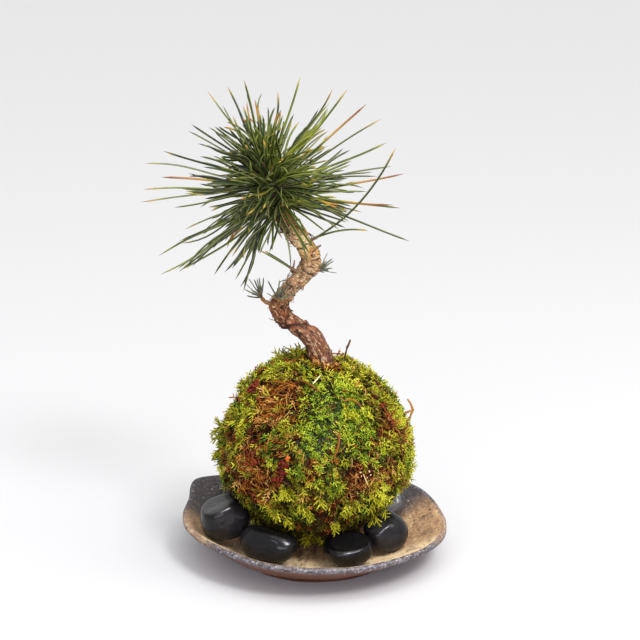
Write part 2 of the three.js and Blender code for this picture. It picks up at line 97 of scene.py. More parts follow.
def smoothLine(points, steps, closed=False):
    # a smooth line through the points, as steps + 1 evenly spaced ones
    given = np.array(points, float)
    if closed:
        given = np.vstack([given[-1], given, given[:2]])
    else:
        given = np.vstack([2 * given[0] - given[1], given, 2 * given[-1] - given[-2]])
    parts = []
    spanSteps = 16
    t = np.linspace(0, 1, spanSteps, endpoint=False)[:, None]
    for a, b, c, d in zip(given, given[1:], given[2:], given[3:]):
        ab, bc, cd = (max(1e-4, np.linalg.norm(q - p)) ** 0.5 for p, q in ((a, b), (b, c), (c, d)))
        slopeIn = ((b - a) / ab - (c - a) / (ab + bc) + (c - b) / bc) * bc
        slopeOut = ((c - b) / bc - (d - b) / (bc + cd) + (d - c) / cd) * bc
        parts.append(curveBetween(b, c, slopeIn, slopeOut, t))
    fine = np.vstack(parts + [given[-2]])
    length = np.concatenate([[0], np.cumsum(np.linalg.norm(np.diff(fine, axis=0), axis=1))])
    even = np.linspace(0, length[-1], steps + 1)
    return np.column_stack([np.interp(even, length, fine[:, k]) for k in range(3)])


def bowedLines(starts, middles, ends, steps):
    # one bent line per row, drawn from its start to its end by its middle
    t = np.linspace(0, 1, steps + 1)[None, :, None]
    starts, middles, ends = (np.asarray(each, float)[:, None, :] for each in (starts, middles, ends))
    return (1 - t) ** 2 * starts + 2 * t * (1 - t) * middles + t**2 * ends


def noiseAt(points, scale, shift=(0, 0, 0)):
    return np.array([noise.noise(Vector(p) * scale + Vector(shift)) for p in points])


def marksOf(count, *values):
    # a row of marks for each of count points or copies; a single number goes to all of them
    return np.column_stack([np.broadcast_to(value, count) for value in values])


# Forms: a small bmesh shape as (points, triangles), to be bent or copied many times
def takeForm(form):
    bmesh.ops.triangulate(form, faces=form.faces)
    form.verts.index_update()
    points = np.array([v.co for v in form.verts])
    faces = np.array([[v.index for v in face.verts] for face in form.faces])
    form.free()
    return points, faces


def ballForm(subdivisions, squash=(1, 1, 1)):
    form = bmesh.new()
    bmesh.ops.create_icosphere(form, subdivisions=subdivisions, radius=1)
    bmesh.ops.scale(form, vec=squash, verts=form.verts)
    return takeForm(form)


def rodForm(sides, steps, pointed=False):
    # a rod or cone of radius 1 and length 1, cut across into steps
    form = bmesh.new()
    bmesh.ops.create_cone(form, cap_ends=True, segments=sides, radius1=1, radius2=0 if pointed else 1,
                          depth=1, matrix=Matrix.Translation((0, 0, 0.5)))
    if pointed:
        for k in range(1, steps):
            everything = form.verts[:] + form.edges[:] + form.faces[:]
            bmesh.ops.bisect_plane(form, geom=everything, plane_co=(0, 0, k / steps), plane_no=(0, 0, 1))
    elif steps > 1:
        upright = [edge for edge in form.edges if abs(edge.verts[0].co.z - edge.verts[1].co.z) > 0.5]
        bmesh.ops.subdivide_edges(form, edges=upright, cuts=steps - 1, use_grid_fill=True)
    points, faces = takeForm(form)
    across = np.linalg.norm(points[:, :2], axis=1, keepdims=True)
    points[:, :2] = np.where(across > 1e-4, points[:, :2] / np.maximum(across, 1e-4), 0)
    return points, faces


def framesAlong(lines, roll=None):
    # two directions across each line at each of its points, carried along without twist
    ahead = unit(np.gradient(lines, axis=1))
    upright = np.abs(ahead[:, 0, 2:]) > 0.9
    start = np.cross(ahead[:, 0], np.where(upright, [[1.0, 0, 0]], [[0, 0, 1.0]]))
    first = np.empty_like(lines)
    first[:, 0] = unit(start)
    for k in range(1, lines.shape[1]):
        carried = first[:, k - 1]
        carried = carried - ahead[:, k] * np.sum(carried * ahead[:, k], axis=1, keepdims=True)
        first[:, k] = unit(carried)
    second = np.cross(ahead, first)
    if roll is not None:
        c, s = np.cos(roll)[:, None, None], np.sin(roll)[:, None, None]
        first, second = first * c + second * s, second * c - first * s
    return first, second


def sweep(form, lines, radii, flat=1.0, roll=None, marks=None):
    # the form bent along every line, with a radius for each of the line's points
    points, faces = form
    lines = np.asarray(lines, float)
    count, rings = lines.shape[:2]
    radii = np.broadcast_to(radii, (count, rings))
    ring = np.rint(points[:, 2] * (rings - 1)).astype(int)
    first, second = framesAlong(lines, roll)
    wide = points[None, :, 0, None] * radii[:, ring, None]
    thick = points[None, :, 1, None] * radii[:, ring, None] * flat
    placed = lines[:, ring] + first[:, ring] * wide + second[:, ring] * thick
    return gather(placed, faces, points[:, 2], marks, np.abs(points[:, 0]))


def gather(placed, faces, along, marks, edge=0.0):
    # copies as one shape: points, triangles and four marks a point, which are the share of the length,
    # then the copy's own two or three, and last how near the point lies to the form's edge
    count, size = placed.shape[:2]
    everyFace = (faces[None] + (np.arange(count) * size)[:, None, None]).reshape(-1, 3)
    kept = np.zeros((count, size, 4))
    kept[:, :, 0] = along
    kept[:, :, 3] = edge
    if marks is not None:
        marks = np.asarray(marks, float)
        kept[:, :, 1:1 + marks.shape[1]] = marks[:, None, :]
    return placed.reshape(-1, 3), everyFace, kept.reshape(-1, 4)


def copies(form, along, places, axes, marks):
    # the form set down at every place, with its own X, Y and Z as the rows of its axes
    points, faces = form
    placed = places[:, None, :] + np.einsum("vk,nkj->nvj", points, axes)
    return gather(placed, faces, along, marks)


def makePiece(name, shapes, material, stands=(), unbent=None):
    # the shapes as one piece in the frame; stands lists the solids it is shown in place of
    points = np.vstack([shape[0] for shape in shapes])
    starts = np.cumsum([0] + [len(shape[0]) for shape in shapes])
    faces = np.vstack([shape[1] + start for shape, start in zip(shapes, starts)])
    mesh = bpy.data.meshes.new(name)
    mesh.from_pydata(points.tolist(), [], faces.tolist())
    growth = mesh.attributes.new("growth", "FLOAT_COLOR", "POINT")
    growth.data.foreach_set("color", np.vstack([shape[2] for shape in shapes]).ravel())
    if unbent is not None:
        skin = mesh.attributes.new("unbent", "FLOAT_VECTOR", "POINT")
        skin.data.foreach_set("vector", unbent.ravel())
    mesh.transform(toFrame)
    mesh.polygons.foreach_set("use_smooth", [True] * len(mesh.polygons))
    mesh.materials.append(material)
    mesh.update()
    piece = bpy.data.objects.new(name, mesh)
    scene.collection.objects.link(piece)
    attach(piece, "root")
    if stands:
        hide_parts(*stands)
    print(f"{name}: {len(mesh.polygons)} faces")


# Materials
def paint(code):
    # a colour written as on the screen, in Blender's linear values
    parts = [int(code[k:k + 2], 16) / 255 for k in (1, 3, 5)]
    return [p / 12.92 if p <= 0.04045 else ((p + 0.055) / 1.055) ** 2.4 for p in parts] + [1]


def connect(tree, value, socket):
    if isinstance(value, bpy.types.NodeSocket):
        tree.links.new(value, socket)
    else:
        socket.default_value = value


def place(tree, kind, inputs, **settings):
    made = tree.nodes.new(kind)
    for key, value in settings.items():
        setattr(made, key, value)
    for key, value in inputs.items():
        connect(tree, value, made.inputs[key])
    return made


def newMaterial(name, look):
    made = bpy.data.materials.new(name)
    made.use_nodes = True
    shader = made.node_tree.nodes["Principled BSDF"]
    for socket, value in look.items():
        shader.inputs[socket].default_value = value
    return made, made.node_tree, shader


def noiseOn(tree, where, scale, detail, rough, stretch=None):
    if stretch:
        where = place(tree, "ShaderNodeMapping", {"Vector": where, "Scale": stretch}).outputs["Vector"]
    inputs = {"Vector": where, "Scale": scale, "Detail": detail, "Roughness": rough}
    return place(tree, "ShaderNodeTexNoise", inputs).outputs["Fac"]


def grain(tree, scale, detail=3.0, rough=0.55, stretch=None):
    # noise on Object coordinates, in metres; stretch squeezes it along an axis
    where = place(tree, "ShaderNodeTexCoord", {}).outputs["Object"]
    return noiseOn(tree, where, scale, detail, rough, stretch)


def ramp(tree, factor, stops):
    made = place(tree, "ShaderNodeValToRGB", {"Fac": factor})
    band = made.color_ramp.elements
    while len(band) < len(stops):
        band.new(0.5)
    for element, (at, colour) in zip(band, stops):
        element.position = at
        element.color = paint(colour) if isinstance(colour, str) else (colour, colour, colour, 1)
    return made.outputs["Color"]


def blended(tree, factor, below, above, way="MIX"):
    made = place(tree, "ShaderNodeMix", {0: factor}, data_type="RGBA", blend_type=way)
    connect(tree, paint(below) if isinstance(below, str) else below, made.inputs[6])
    connect(tree, paint(above) if isinstance(above, str) else above, made.inputs[7])
    return made.outputs[2]


def worked(tree, way, a, b):
    return place(tree, "ShaderNodeMath", {0: a, 1: b}, operation=way).outputs[0]


def plus(tree, a, b):
    return worked(tree, "ADD", a, b)


def times(tree, a, b):
    return worked(tree, "MULTIPLY", a, b)


def stirred(tree, value, texture, amount):
    # the value pushed up and down by a noise that lies round 0.5
    return plus(tree, value, times(tree, worked(tree, "SUBTRACT", texture, 0.5), amount))


def spread(tree, value, low, high, toLow=0.0, toHigh=1.0):
    # value between low and high brought to the new limits
    inputs = {"Value": value, "From Min": low, "From Max": high, "To Min": toLow, "To Max": toHigh}
    return place(tree, "ShaderNodeMapRange", inputs, interpolation_type="SMOOTHSTEP").outputs["Result"]


def readGrowth(tree):
    mark = place(tree, "ShaderNodeAttribute", {}, attribute_name="growth")
    parts = place(tree, "ShaderNodeSeparateColor", {"Color": mark.outputs["Color"]})
    return parts.outputs[0], parts.outputs[1], parts.outputs[2], mark.outputs["Alpha"]


def raised(tree, shader, height, strength, distance):
    bump = place(tree, "ShaderNodeBump", {"Height": height, "Strength": strength, "Distance": distance})
    tree.links.new(bump.outputs["Normal"], shader.inputs["Normal"])


# Camera, floor and light
studio = {
    "aim": (2.0, 0.0, 123.6),
    "distance": 1000.0,
    "pitch": 16.0,
    "lens": 114.58,
    "sensor": 36,
    "sight": (0.05, 60),
    "floorSize": 60.0,
    "floorColour": "#cfd0d3",
    "skyColour": "#eff0f3",
    "skyStrength": 0.78,
    "sunColour": "#fffaf0",
    # each sun: the way its light goes, how strong it is and how soft in degrees
    "suns": {"soft daylight": ((-0.42, 0.12, -1), 1.25, 40),
             "front fill": ((0.04, 0.62, -1), 1.0, 60)},
    # each window: where it hangs in metres, its width and height, its power and colour
    "windows": {"window light": ((0.5, -0.72, 0.98), (0.3, 0.3), 8.5, "#ffffff"),
                "low window": ((-0.1, -1.15, 0.4), (1.5, 0.16), 5.0, "#efecff"),
                "glint window": ((0.5, -0.78, 1.05), (1.1, 0.4), 26.0, "#f3eeff")},
    "windowsFace": (0, 0, 0.08),
}


def setUpCamera():
    pitch = math.radians(studio["pitch"])
    aim = toFrame @ Vector(studio["aim"])
    back = Vector((0, -math.cos(pitch), math.sin(pitch)))
    data = bpy.data.cameras.new("camera")
    data.lens = studio["lens"]
    data.sensor_width = studio["sensor"]
    data.clip_start, data.clip_end = studio["sight"]
    camera = bpy.data.objects.new("camera", data)
    camera.location = aim + back * studio["distance"] / 1000
    camera.rotation_euler = (math.pi / 2 - pitch, 0, 0)
    scene.collection.objects.link(camera)
    scene.camera = camera


def layFloor():
    form = bmesh.new()
    bmesh.ops.create_grid(form, x_segments=1, y_segments=1, size=studio["floorSize"] / 2)
    mesh = bpy.data.meshes.new("floor")
    form.to_mesh(mesh)
    form.free()
    look = {"Base Color": paint(studio["floorColour"]), "Roughness": 0.55, "Specular IOR Level": 0.25}
    mesh.materials.append(newMaterial("pale floor", look)[0])
    floor = bpy.data.objects.new("floor", mesh)
    scene.collection.objects.link(floor)


def addLight(name, kind, power, colour, way):
    data = bpy.data.lights.new(name, kind)
    data.energy = power
    data.color = paint(colour)[:3]
    light = bpy.data.objects.new(name, data)
    light.rotation_euler = way.to_track_quat("-Z", "Y").to_euler()
    scene.collection.objects.link(light)
    return light


def lightStudio():
    world = bpy.data.worlds.new("studio")
    world.use_nodes = True
    sky = world.node_tree.nodes["Background"]
    sky.inputs["Color"].default_value = paint(studio["skyColour"])
    sky.inputs["Strength"].default_value = studio["skyStrength"]
    scene.world = world
    scene.view_settings.view_transform = "Standard"
    for name, (way, power, softness) in studio["suns"].items():
        sun = addLight(name, "SUN", power, studio["sunColour"], Vector(way))
        sun.data.angle = math.radians(softness)
    for name, (at, size, power, colour) in studio["windows"].items():
        window = addLight(name, "AREA", power, colour, Vector(studio["windowsFace"]) - Vector(at))
        window.location = at
        window.data.shape = "RECTANGLE"
        window.data.size, window.data.size_y = size
    # this one shows only as a glint on the polished stones and the damp moss
    glint = bpy.data.objects["glint window"]
    glint.visible_diffuse = False
    glint.visible_camera = False


setUpCamera()
layFloor()
lightStudio()
print("studio ready")


# Dish: a spun profile drawn out into soft corners, as in the solids
dish = {
    "around": 216,
    "steps": 84,  # across the profile, from the middle over the lip and back to the middle
    "handUnevenness": 0.16,
    "waves": [(15, 2.2), (4, 0.5)],  # how long the uneven waves are, and how strong
    "flatBelow": 0.3,
    # each row: direction in degrees (0 is +X, 90 is the back), the rim's radius and its height
    "rim": [(-15, 65.6, 17.4), (15, 65.8, 18.4), (45, 69.6, 20.5), (75, 66, 18.5), (115, 65.5, 19),
            (143, 77.4, 24.3), (160, 70, 21.4), (180, 67, 20), (202, 64.2, 20.1), (222, 62.6, 20.4),
            (245, 62.6, 19), (270, 63.2, 18.3), (292, 63.2, 17.8), (318, 64, 17.6)],
    "inside": [(0, 8), (20, 8), (33, 8.5), (43, 10), (52, 12.6), (58, 14.7), (61, 15.7)],
    "outside": [(62.7, 16.2), (64, 15.5), (64.4, 14.2), (62.9, 12.9), (54, 9.1), (45, 5.4), (38.6, 2.8),
                (37, 1.7), (36.7, 0), (33, 0), (31.6, 2.8), (0, 3.4)],
    # half way through the clay, which parts the inside from the underside
    "halfway": [(0, 5.6), (37, 5.6), (45, 8), (54, 11), (62.9, 14), (64.4, 14.2)],
    "outerEdge": 64.4,
    "rimRadius": 64,
    "rimHeight": 16,
    "waveFrom": 39,  # the rim's wave starts outside the foot
    "lipFrom": (62.0, 62.9),
    "lipAbove": (12.6, 13.6),
    "wallFrom": (22, 34),  # the inner wall, between the floor and the lip
    "wallTo": (61, 62.4),
}


def rimAt(angles):
    # the rim's radius and height in each direction
    rows = np.array(dish["rim"], float)
    count = len(rows)
    turnedBy = np.mod(np.degrees(angles) - rows[0, 0], 360) + rows[0, 0]
    ends = np.append(rows[1:, 0], rows[0, 0] + 360)
    row = np.minimum(np.searchsorted(ends, turnedBy, side="right"), count - 1)
    t = ((turnedBy - rows[row, 0]) / (ends[row] - rows[row, 0]))[:, None]
    before, start, end, after = (rows[(row + k) % count, 1:] for k in (-1, 0, 1, 2))
    made = curveBetween(start, end, (end - before) / 2, (after - start) / 2, t)
    return made[:, 0], made[:, 1]


def drawnOut(points):
    # the round dish drawn out to its wavy rim
    radius = np.hypot(points[:, 0], points[:, 1])
    rimRadius, rimHeight = rimAt(np.arctan2(points[:, 1], points[:, 0]))
    outward = easeIn(dish["waveFrom"], dish["rimRadius"], radius)
    scale = 1 + (rimRadius / dish["rimRadius"] - 1) * outward
    lift = (rimHeight - dish["rimHeight"]) * outward**2
    return np.column_stack([points[:, 0] * scale, points[:, 1] * scale, points[:, 2] + lift])


def spunDish():
    rows = [(r, 0, z) for r, z in dish["inside"] + dish["outside"]]
    profile = smoothLine(rows, dish["steps"])
    profile[:, 2] = np.maximum(profile[:, 2], 0)
    profile[0, 0] = profile[-1, 0] = 0
    form = bmesh.new()
    chain = [form.verts.new(p) for p in profile]
    edges = [form.edges.new(pair) for pair in zip(chain, chain[1:])]
    bmesh.ops.spin(form, geom=chain + edges, cent=(0, 0, 0), axis=(0, 0, 1), angle=2 * math.pi,
                   steps=dish["around"], use_merge=True)
    bmesh.ops.remove_doubles(form, verts=form.verts, dist=1e-3)
    bmesh.ops.recalc_face_normals(form, faces=form.faces)
    return takeForm(form)


def makeDish():
    points, faces = spunDish()
    radius = np.hypot(points[:, 0], points[:, 1])
    lip = easeIn(*dish["lipFrom"], radius) * easeIn(*dish["lipAbove"], points[:, 2])
    above = points[:, 2] > np.interp(radius, *zip(*dish["halfway"]))
    wall = easeIn(*dish["wallFrom"], radius) * (1 - easeIn(*dish["wallTo"], radius)) * above
    points = drawnOut(points)
    size = dish["handUnevenness"]
    for p in points:
        if p[2] > dish["flatBelow"]:
            p += sum(np.array(noise.noise_vector(Vector(p) / length)) * size * strong
                     for length, strong in dish["waves"])
    return points, faces, marksOf(len(points), lip, above, wall, radius / dish["outerEdge"])


def clayColour(tree, parts, cloud, fine, wall):
    # tan on the floor, the front and the right wall, charcoal on the left wall and at the back
    streaks = grain(tree, 210, 5, 0.72, (1, 0.42, 1))
    warmth = plus(tree, times(tree, parts["Y"], -55), 0.92)
    warmth = plus(tree, warmth, times(tree, parts["X"], 8.5))
    warmth = spread(tree, stirred(tree, warmth, cloud, 2.1), -0.7, 0.75)
    cool = ramp(tree, fine, [(0.3, "#201c1d"), (0.5, "#3e393a"), (0.66, "#5c5655"), (0.82, "#948d88")])
    warm = ramp(tree, fine, [(0.28, "#705134"), (0.46, "#a9835c"), (0.62, "#c09c73"), (0.85, "#dcc39c")])
    # painted light: the front wall below the lip is painted paler, as if more light reached it
    front = spread(tree, parts["Y"], footY - 0.012, footY - 0.029, 0, 0.95)
    paintedFrontLight = ramp(tree, fine, [(0.3, "#dcb07e"), (0.6, "#ffe8bf")])
    warm = blended(tree, times(tree, front, wall), warm, paintedFrontLight)
    colour = blended(tree, warmth, cool, warm)
    # dark and pale streaks in the warm clay alone
    darkStreaks = times(tree, warmth, spread(tree, streaks, 0.5, 0.62, 0, 0.62))
    paleStreaks = times(tree, warmth, spread(tree, streaks, 0.45, 0.34, 0, 0.6))
    colour = blended(tree, darkStreaks, colour, "#5d4430")
    return blended(tree, paleStreaks, colour, "#dcc098")


def lipBand(tree, parts, cloud, lip):
    # the lip's grey band fades to bare clay at the far left and right
    edge = stirred(tree, lip, cloud, 0.5)
    aside = worked(tree, "SUBTRACT", parts["X"], footX)
    left = spread(tree, aside, -0.046, -0.058, 1, 0.4)
    right = spread(tree, aside, 0.057, 0.064, 1, 0.5)
    return times(tree, spread(tree, edge, 0.25, 0.75, 0, 0.92), times(tree, left, right))


def dishMaterial():
    made, tree, shader = newMaterial("dish stoneware", {"Roughness": 0.6, "Specular IOR Level": 0.35})
    lip, inside, wall, outward = readGrowth(tree)
    where = place(tree, "ShaderNodeTexCoord", {}).outputs["Object"]
    parts = place(tree, "ShaderNodeSeparateXYZ", {"Vector": where}).outputs
    cloud = grain(tree, 28, 4)
    fine = grain(tree, 700, 2, 0.7)
    specks = grain(tree, 420, 2, 0.6)
    under = ramp(tree, fine, [(0.3, "#371d12"), (0.55, "#6f432d"), (0.8, "#8e6047")])
    colour = blended(tree, inside, under, clayColour(tree, parts, cloud, fine, wall))
    grey = ramp(tree, fine, [(0.25, "#1b191f"), (0.42, "#3c3a41"), (0.55, "#605e67"), (0.7, "#a09fa4")])
    colour = blended(tree, lipBand(tree, parts, cloud, lip), colour, grey)
    # painted shade: the underside is painted dark within the foot ring, where shade falls
    paintedShade = blended(tree, inside, "#150f0e", colour)
    colour = blended(tree, spread(tree, outward, 0.552, 0.5, 0, 0.85), colour, paintedShade)
    colour = blended(tree, spread(tree, specks, 0.64, 0.7, 0, 0.75), colour, "#191513")
    colour = blended(tree, spread(tree, specks, 0.33, 0.27, 0, 0.65), colour, "#d6c6ac")
    tree.links.new(colour, shader.inputs["Base Color"])
    tree.links.new(spread(tree, fine, 0.3, 0.7, 0.42, 0.72), shader.inputs["Roughness"])
    raised(tree, shader, fine, 0.35, 0.0004)
    return made


makePiece("stoneware_dish", [makeDish()], dishMaterial(), ["dish"])

# Pebbles: flattened rounds with slightly flat faces
# each row: where the middle lies, the half sizes, the heading and how far it is tipped up on the ball
pebbles = {
    "rows": [((-45, -16.4), (12, 12.2, 11.2), 195, 4), ((-22.6, -34.5), (15, 10.5, 8), -24, 13),
             ((16.2, -37.8), (12.2, 11.2, 6.4), 8, 13), ((34.4, -18.8), (11, 11.2, 8.6), 38, 16),
             ((36.6, 18.6), (9.4, 8.6, 9.4), 95, 26), ((-41.5, 25), (12.5, 11.5, 7.4), 150, 54),
             ((-15, 43), (13, 10.5, 8), 20, 14), ((16, 42), (12, 10, 7.4), -25, 16)],
    # worn flats: the heading and the height in degrees that each faces, and how far out it lies as a share
    "flats": [[(200, 66, 0.75), (-66, 12, 0.86)], [(50, 72, 0.7), (-112, 16, 0.84)],
              [(-80, 76, 0.74), (-60, 0, 0.9)], [(-150, 56, 0.8), (-70, 10, 0.86)],
              [(-80, 34, 0.78), (30, 50, 0.85)], [(215, 24, 0.84)],
              [(80, 66, 0.78), (120, 10, 0.88)], [(60, 70, 0.76)]],
    # pale veins on each stone, set stronger on some where they also stand for a painted sheen
    "veinsAndSheen": [0.03, 0.01, 0.0, 0.04, 0.22, 0.05, 0.0, 0.06],
    # painted reflection: the first flat of each stone is painted pale, for the light it reflects
    "paintedFlatSheen": [0.52, 0.06, 0.04, 0.25, 1.0, 0.1, 0.1, 0.1],  # how pale the first flat of each looks
    "boxiness": 2.35,
    "flatEdge": 15,
    "dimples": 0.36,
    "offDish": 0.05,
    "subdivisions": 5,
}
pebbleMiddles = []


def pebblePlace(row):
    # the turn and the height of a pebble, so that it lies where its solid does
    at, half, heading, lean = pebbles["rows"][row]
    outwards = math.atan2(at[1], at[0])
    tilt = Matrix.Rotation(math.radians(lean), 3, Vector((-math.sin(outwards), math.cos(outwards), 0)))
    turn = np.array(tilt @ Matrix.Rotation(math.radians(heading), 3, "Z"))
    low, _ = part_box(f"pebble_{row + 1}")
    return np.array(at, float), np.array(half, float), turn, low.z * 1000


def pebbleShape(row, directions):
    # the pebble's points round its middle, and how far each lies on its first flat
    _, half, turn, _ = pebblePlace(row)
    power = pebbles["boxiness"]
    x, y, z = directions.T
    uneven = (1 + 0.04 * np.sin(2.1 * x + 1.7 * y + row * 1.9)
              + 0.03 * np.sin(3.3 * y - 2.3 * z + row * 2.7))
    inward = [np.sum(np.abs(directions) ** power, axis=1) ** (1 / power)]
    for heading, height, share in pebbles["flats"][row]:
        h, v = math.radians(heading), math.radians(height)
        facing = np.array([math.cos(h) * math.cos(v), math.sin(h) * math.cos(v), math.sin(v)])
        facing = unit((facing @ turn) * half)
        inward.append(np.maximum(directions @ facing, 0) / share)
    edge = pebbles["flatEdge"]
    reach = uneven / np.sum(np.array(inward) ** edge, axis=0) ** (1 / edge)
    onFlat = easeIn(0.97, 1.03, inward[1] / np.max([inward[0]] + inward[2:], axis=0))
    return (directions * half * reach[:, None]) @ turn.T, onFlat


def makePebble(row, ball):
    points, faces = ball
    at, _, _, lowest = pebblePlace(row)
    directions = unit(points)
    placed, onFlat = pebbleShape(row, directions)
    middle = np.array([at[0], at[1], lowest - placed[:, 2].min() + pebbles["offDish"]])
    dimple = np.maximum(noiseAt(directions, 2.6, (row, 0, 0)), 0) * pebbles["dimples"]
    placed = placed - unit(placed) * dimple[:, None]
    pebbleMiddles.append(middle)
    marks = marksOf(len(points), onFlat * pebbles["paintedFlatSheen"][row], pebbles["veinsAndSheen"][row], 0, 0)
    return placed + middle, faces, marks


def insidePebble(points, extra):
    # which points lie in a pebble that is grown all round by extra
    found = np.zeros(len(points), bool)
    power = pebbles["boxiness"]
    for row, middle in enumerate(pebbleMiddles):
        _, half, turn, _ = pebblePlace(row)
        local = np.abs((points - middle) @ turn) / (half * 1.03 + extra)
        found |= np.sum(local**power, axis=1) < 1
    return found


def pebbleMaterial():
    look = {"Specular IOR Level": 0.06, "Coat Weight": 0.38, "Coat Roughness": 0.1}
    made, tree, shader = newMaterial("polished pebble", look)
    onFlat, shade, _, _ = readGrowth(tree)
    cloud = grain(tree, 55, 4)
    pits = grain(tree, 900, 2, 0.6)
    veins = grain(tree, 130, 4, 0.6)
    stone = ramp(tree, cloud, [(0.3, "#040304"), (0.55, "#09080a"), (0.75, "#19151a")])
    # pale veins, partly painted sheen: stronger on some stones to stand for the light they catch
    veined = times(tree, shade, spread(tree, veins, 0.3, 0.7, 0.35, 0.9))
    stone = blended(tree, veined, stone, "#a39ba0")
    # painted reflection: the first flat of each stone is painted pale, for the light it reflects
    sheenOnFlat = times(tree, onFlat, spread(tree, veins, 0.25, 0.7, 0.6, 1.0))
    stone = blended(tree, sheenOnFlat, stone, "#5a5a58")
    stone = blended(tree, spread(tree, pits, 0.66, 0.74, 0, 0.3), stone, "#3f3b40")
    tree.links.new(stone, shader.inputs["Base Color"])
    tree.links.new(spread(tree, cloud, 0.3, 0.75, 0.32, 0.52), shader.inputs["Roughness"])
    raised(tree, shader, plus(tree, pits, times(tree, cloud, 5)), 0.4, 0.0006)
    return made


fineBall = ballForm(pebbles["subdivisions"])
blackStone = pebbleMaterial()
for row in range(len(pebbles["rows"])):
    makePiece(f"polished_pebble_{row + 1}", [makePebble(row, fineBall)], blackStone,
              [f"pebble_{row + 1}"])

# Moss ball
moss = {
    "centre": (0, 0, 56.5),
    "radius": 46.8,
    "matDepth": 1.3,  # how far under the fronds' feet the mat lies
    "fronds": 11800,
    "clumps": 300,
    "frondLength": 6.2,
    "frondSizes": (0.55, 1.2),
    "frondLift": (0.04, 1.3),
    "looseFronds": 0.09,  # the share that stands up out of the rest
    "sink": (0.5, 1.5),
    "fibres": 1900,
    "fibreLength": (3.5, 9.5),
    "fibreRadius": (0.14, 0.34),
    "floor": 8.3,
    "tipsOut": 1.6,  # how far most tips stand out over the fronds' feet
    "thinSide": (0.74, -0.16, -0.65),  # low on the right, where the moss is thin
    "golden": 2.399963,  # the turn that spreads places evenly
    "frondKinds": 9,
    "lowest": -0.93,  # there are no fronds nearer the ball's foot
    "matSubdivisions": 6,
    "pressSteps": 26,
    "pressStep": 0.5,
}
# dry places as seen from the front: across and up as shares of the ball's radius, their size, and how dry
dryPlaces = [(-0.65, 0.66, 0.08, 1.0), (-0.35, 0.6, 0.23, 0.85), (-0.45, 0.42, 0.22, 0.9),
             (-0.86, 0.16, 0.1, 0.9), (-0.58, 0.17, 0.13, 0.75), (-0.68, -0.08, 0.2, 1.0),
             (-0.6, -0.36, 0.19, 0.9), (-0.8, -0.3, 0.13, 0.9), (-0.92, -0.1, 0.1, 0.9),
             (-0.43, -0.2, 0.1, 0.55), (-0.05, -0.13, 0.1, 0.7), (-0.1, -0.38, 0.09, 0.55),
             (0.45, -0.24, 0.19, 1.0), (0.75, -0.18, 0.15, 0.85), (0.86, 0.14, 0.08, 0.8),
             (0.74, 0.28, 0.12, 0.7), (0.64, 0.52, 0.09, 0.6), (0.6, 0.1, 0.08, 0.5),
             (0.11, -0.58, 0.13, 0.85), (0.16, -0.8, 0.15, 0.95), (0.34, -0.66, 0.09, 0.6),
             (-0.1, -0.72, 0.1, 0.6), (-0.34, -0.6, 0.08, 0.5), (0.16, 0.93, 0.14, 0.9),
             (-0.2, 0.93, 0.1, 0.8), (0.36, 0.9, 0.09, 0.6), (-0.58, 0.8, 0.09, 0.7),
             (0.38, -0.45, 0.1, 0.4), (-0.25, 0.1, 0.1, 0.4), (0.17, 0.02, 0.05, 0.9)]
# fine dark moss, written the same way
finePlaces = [(0.2, 0.45, 0.36, 1.0), (0.02, 0.15, 0.26, 0.9), (0.45, 0.25, 0.22, 0.8),
              (0.1, 0.72, 0.16, 0.6)]
# fronds that stand out of the rest: across and up, the heading in the picture, how many and how long
looseTufts = [(-0.97, 0.22, 176, 9, 8.0), (-0.99, 0.02, 196, 7, 7.0), (-0.95, -0.22, 190, 5, 5.5),
              (0.97, -0.24, -38, 8, 7.0), (0.94, 0.24, 20, 4, 5.0), (0.64, -0.66, -70, 8, 7.5),
              (0.74, -0.6, -60, 6, 6.0), (0.42, -0.83, -88, 8, 7.5), (-0.05, -0.92, -96, 12, 8.0),
              (0.04, -0.93, -82, 8, 7.5), (-0.28, -0.9, -110, 7, 6.5), (-0.19, 0.95, 104, 14, 8.5),
              (-0.28, 0.93, 122, 9, 7.5), (0.33, 0.93, 80, 6, 6.0), (0.37, 0.82, 96, 8, 7.0),
              (0.42, 0.86, 84, 7, 6.5), (-0.72, 0.66, 140, 5, 5.5), (-0.62, -0.74, -120, 6, 6.0),
              (-0.3, -0.35, -70, 9, 7.0), (-0.42, -0.55, -75, 8, 7.0), (0.36, -0.5, -110, 9, 7.5),
              (0.6, -0.4, -60, 7, 7.0), (-0.8, 0.36, 170, 7, 7.0), (-0.12, -0.5, -90, 8, 7.0),
              (0.2, -0.68, -80, 8, 7.0), (-0.34, -0.66, -40, 6, 8.0), (-0.24, 0.3, 200, 7, 6.5),
              (0.3, 0.34, 60, 8, 6.0)]
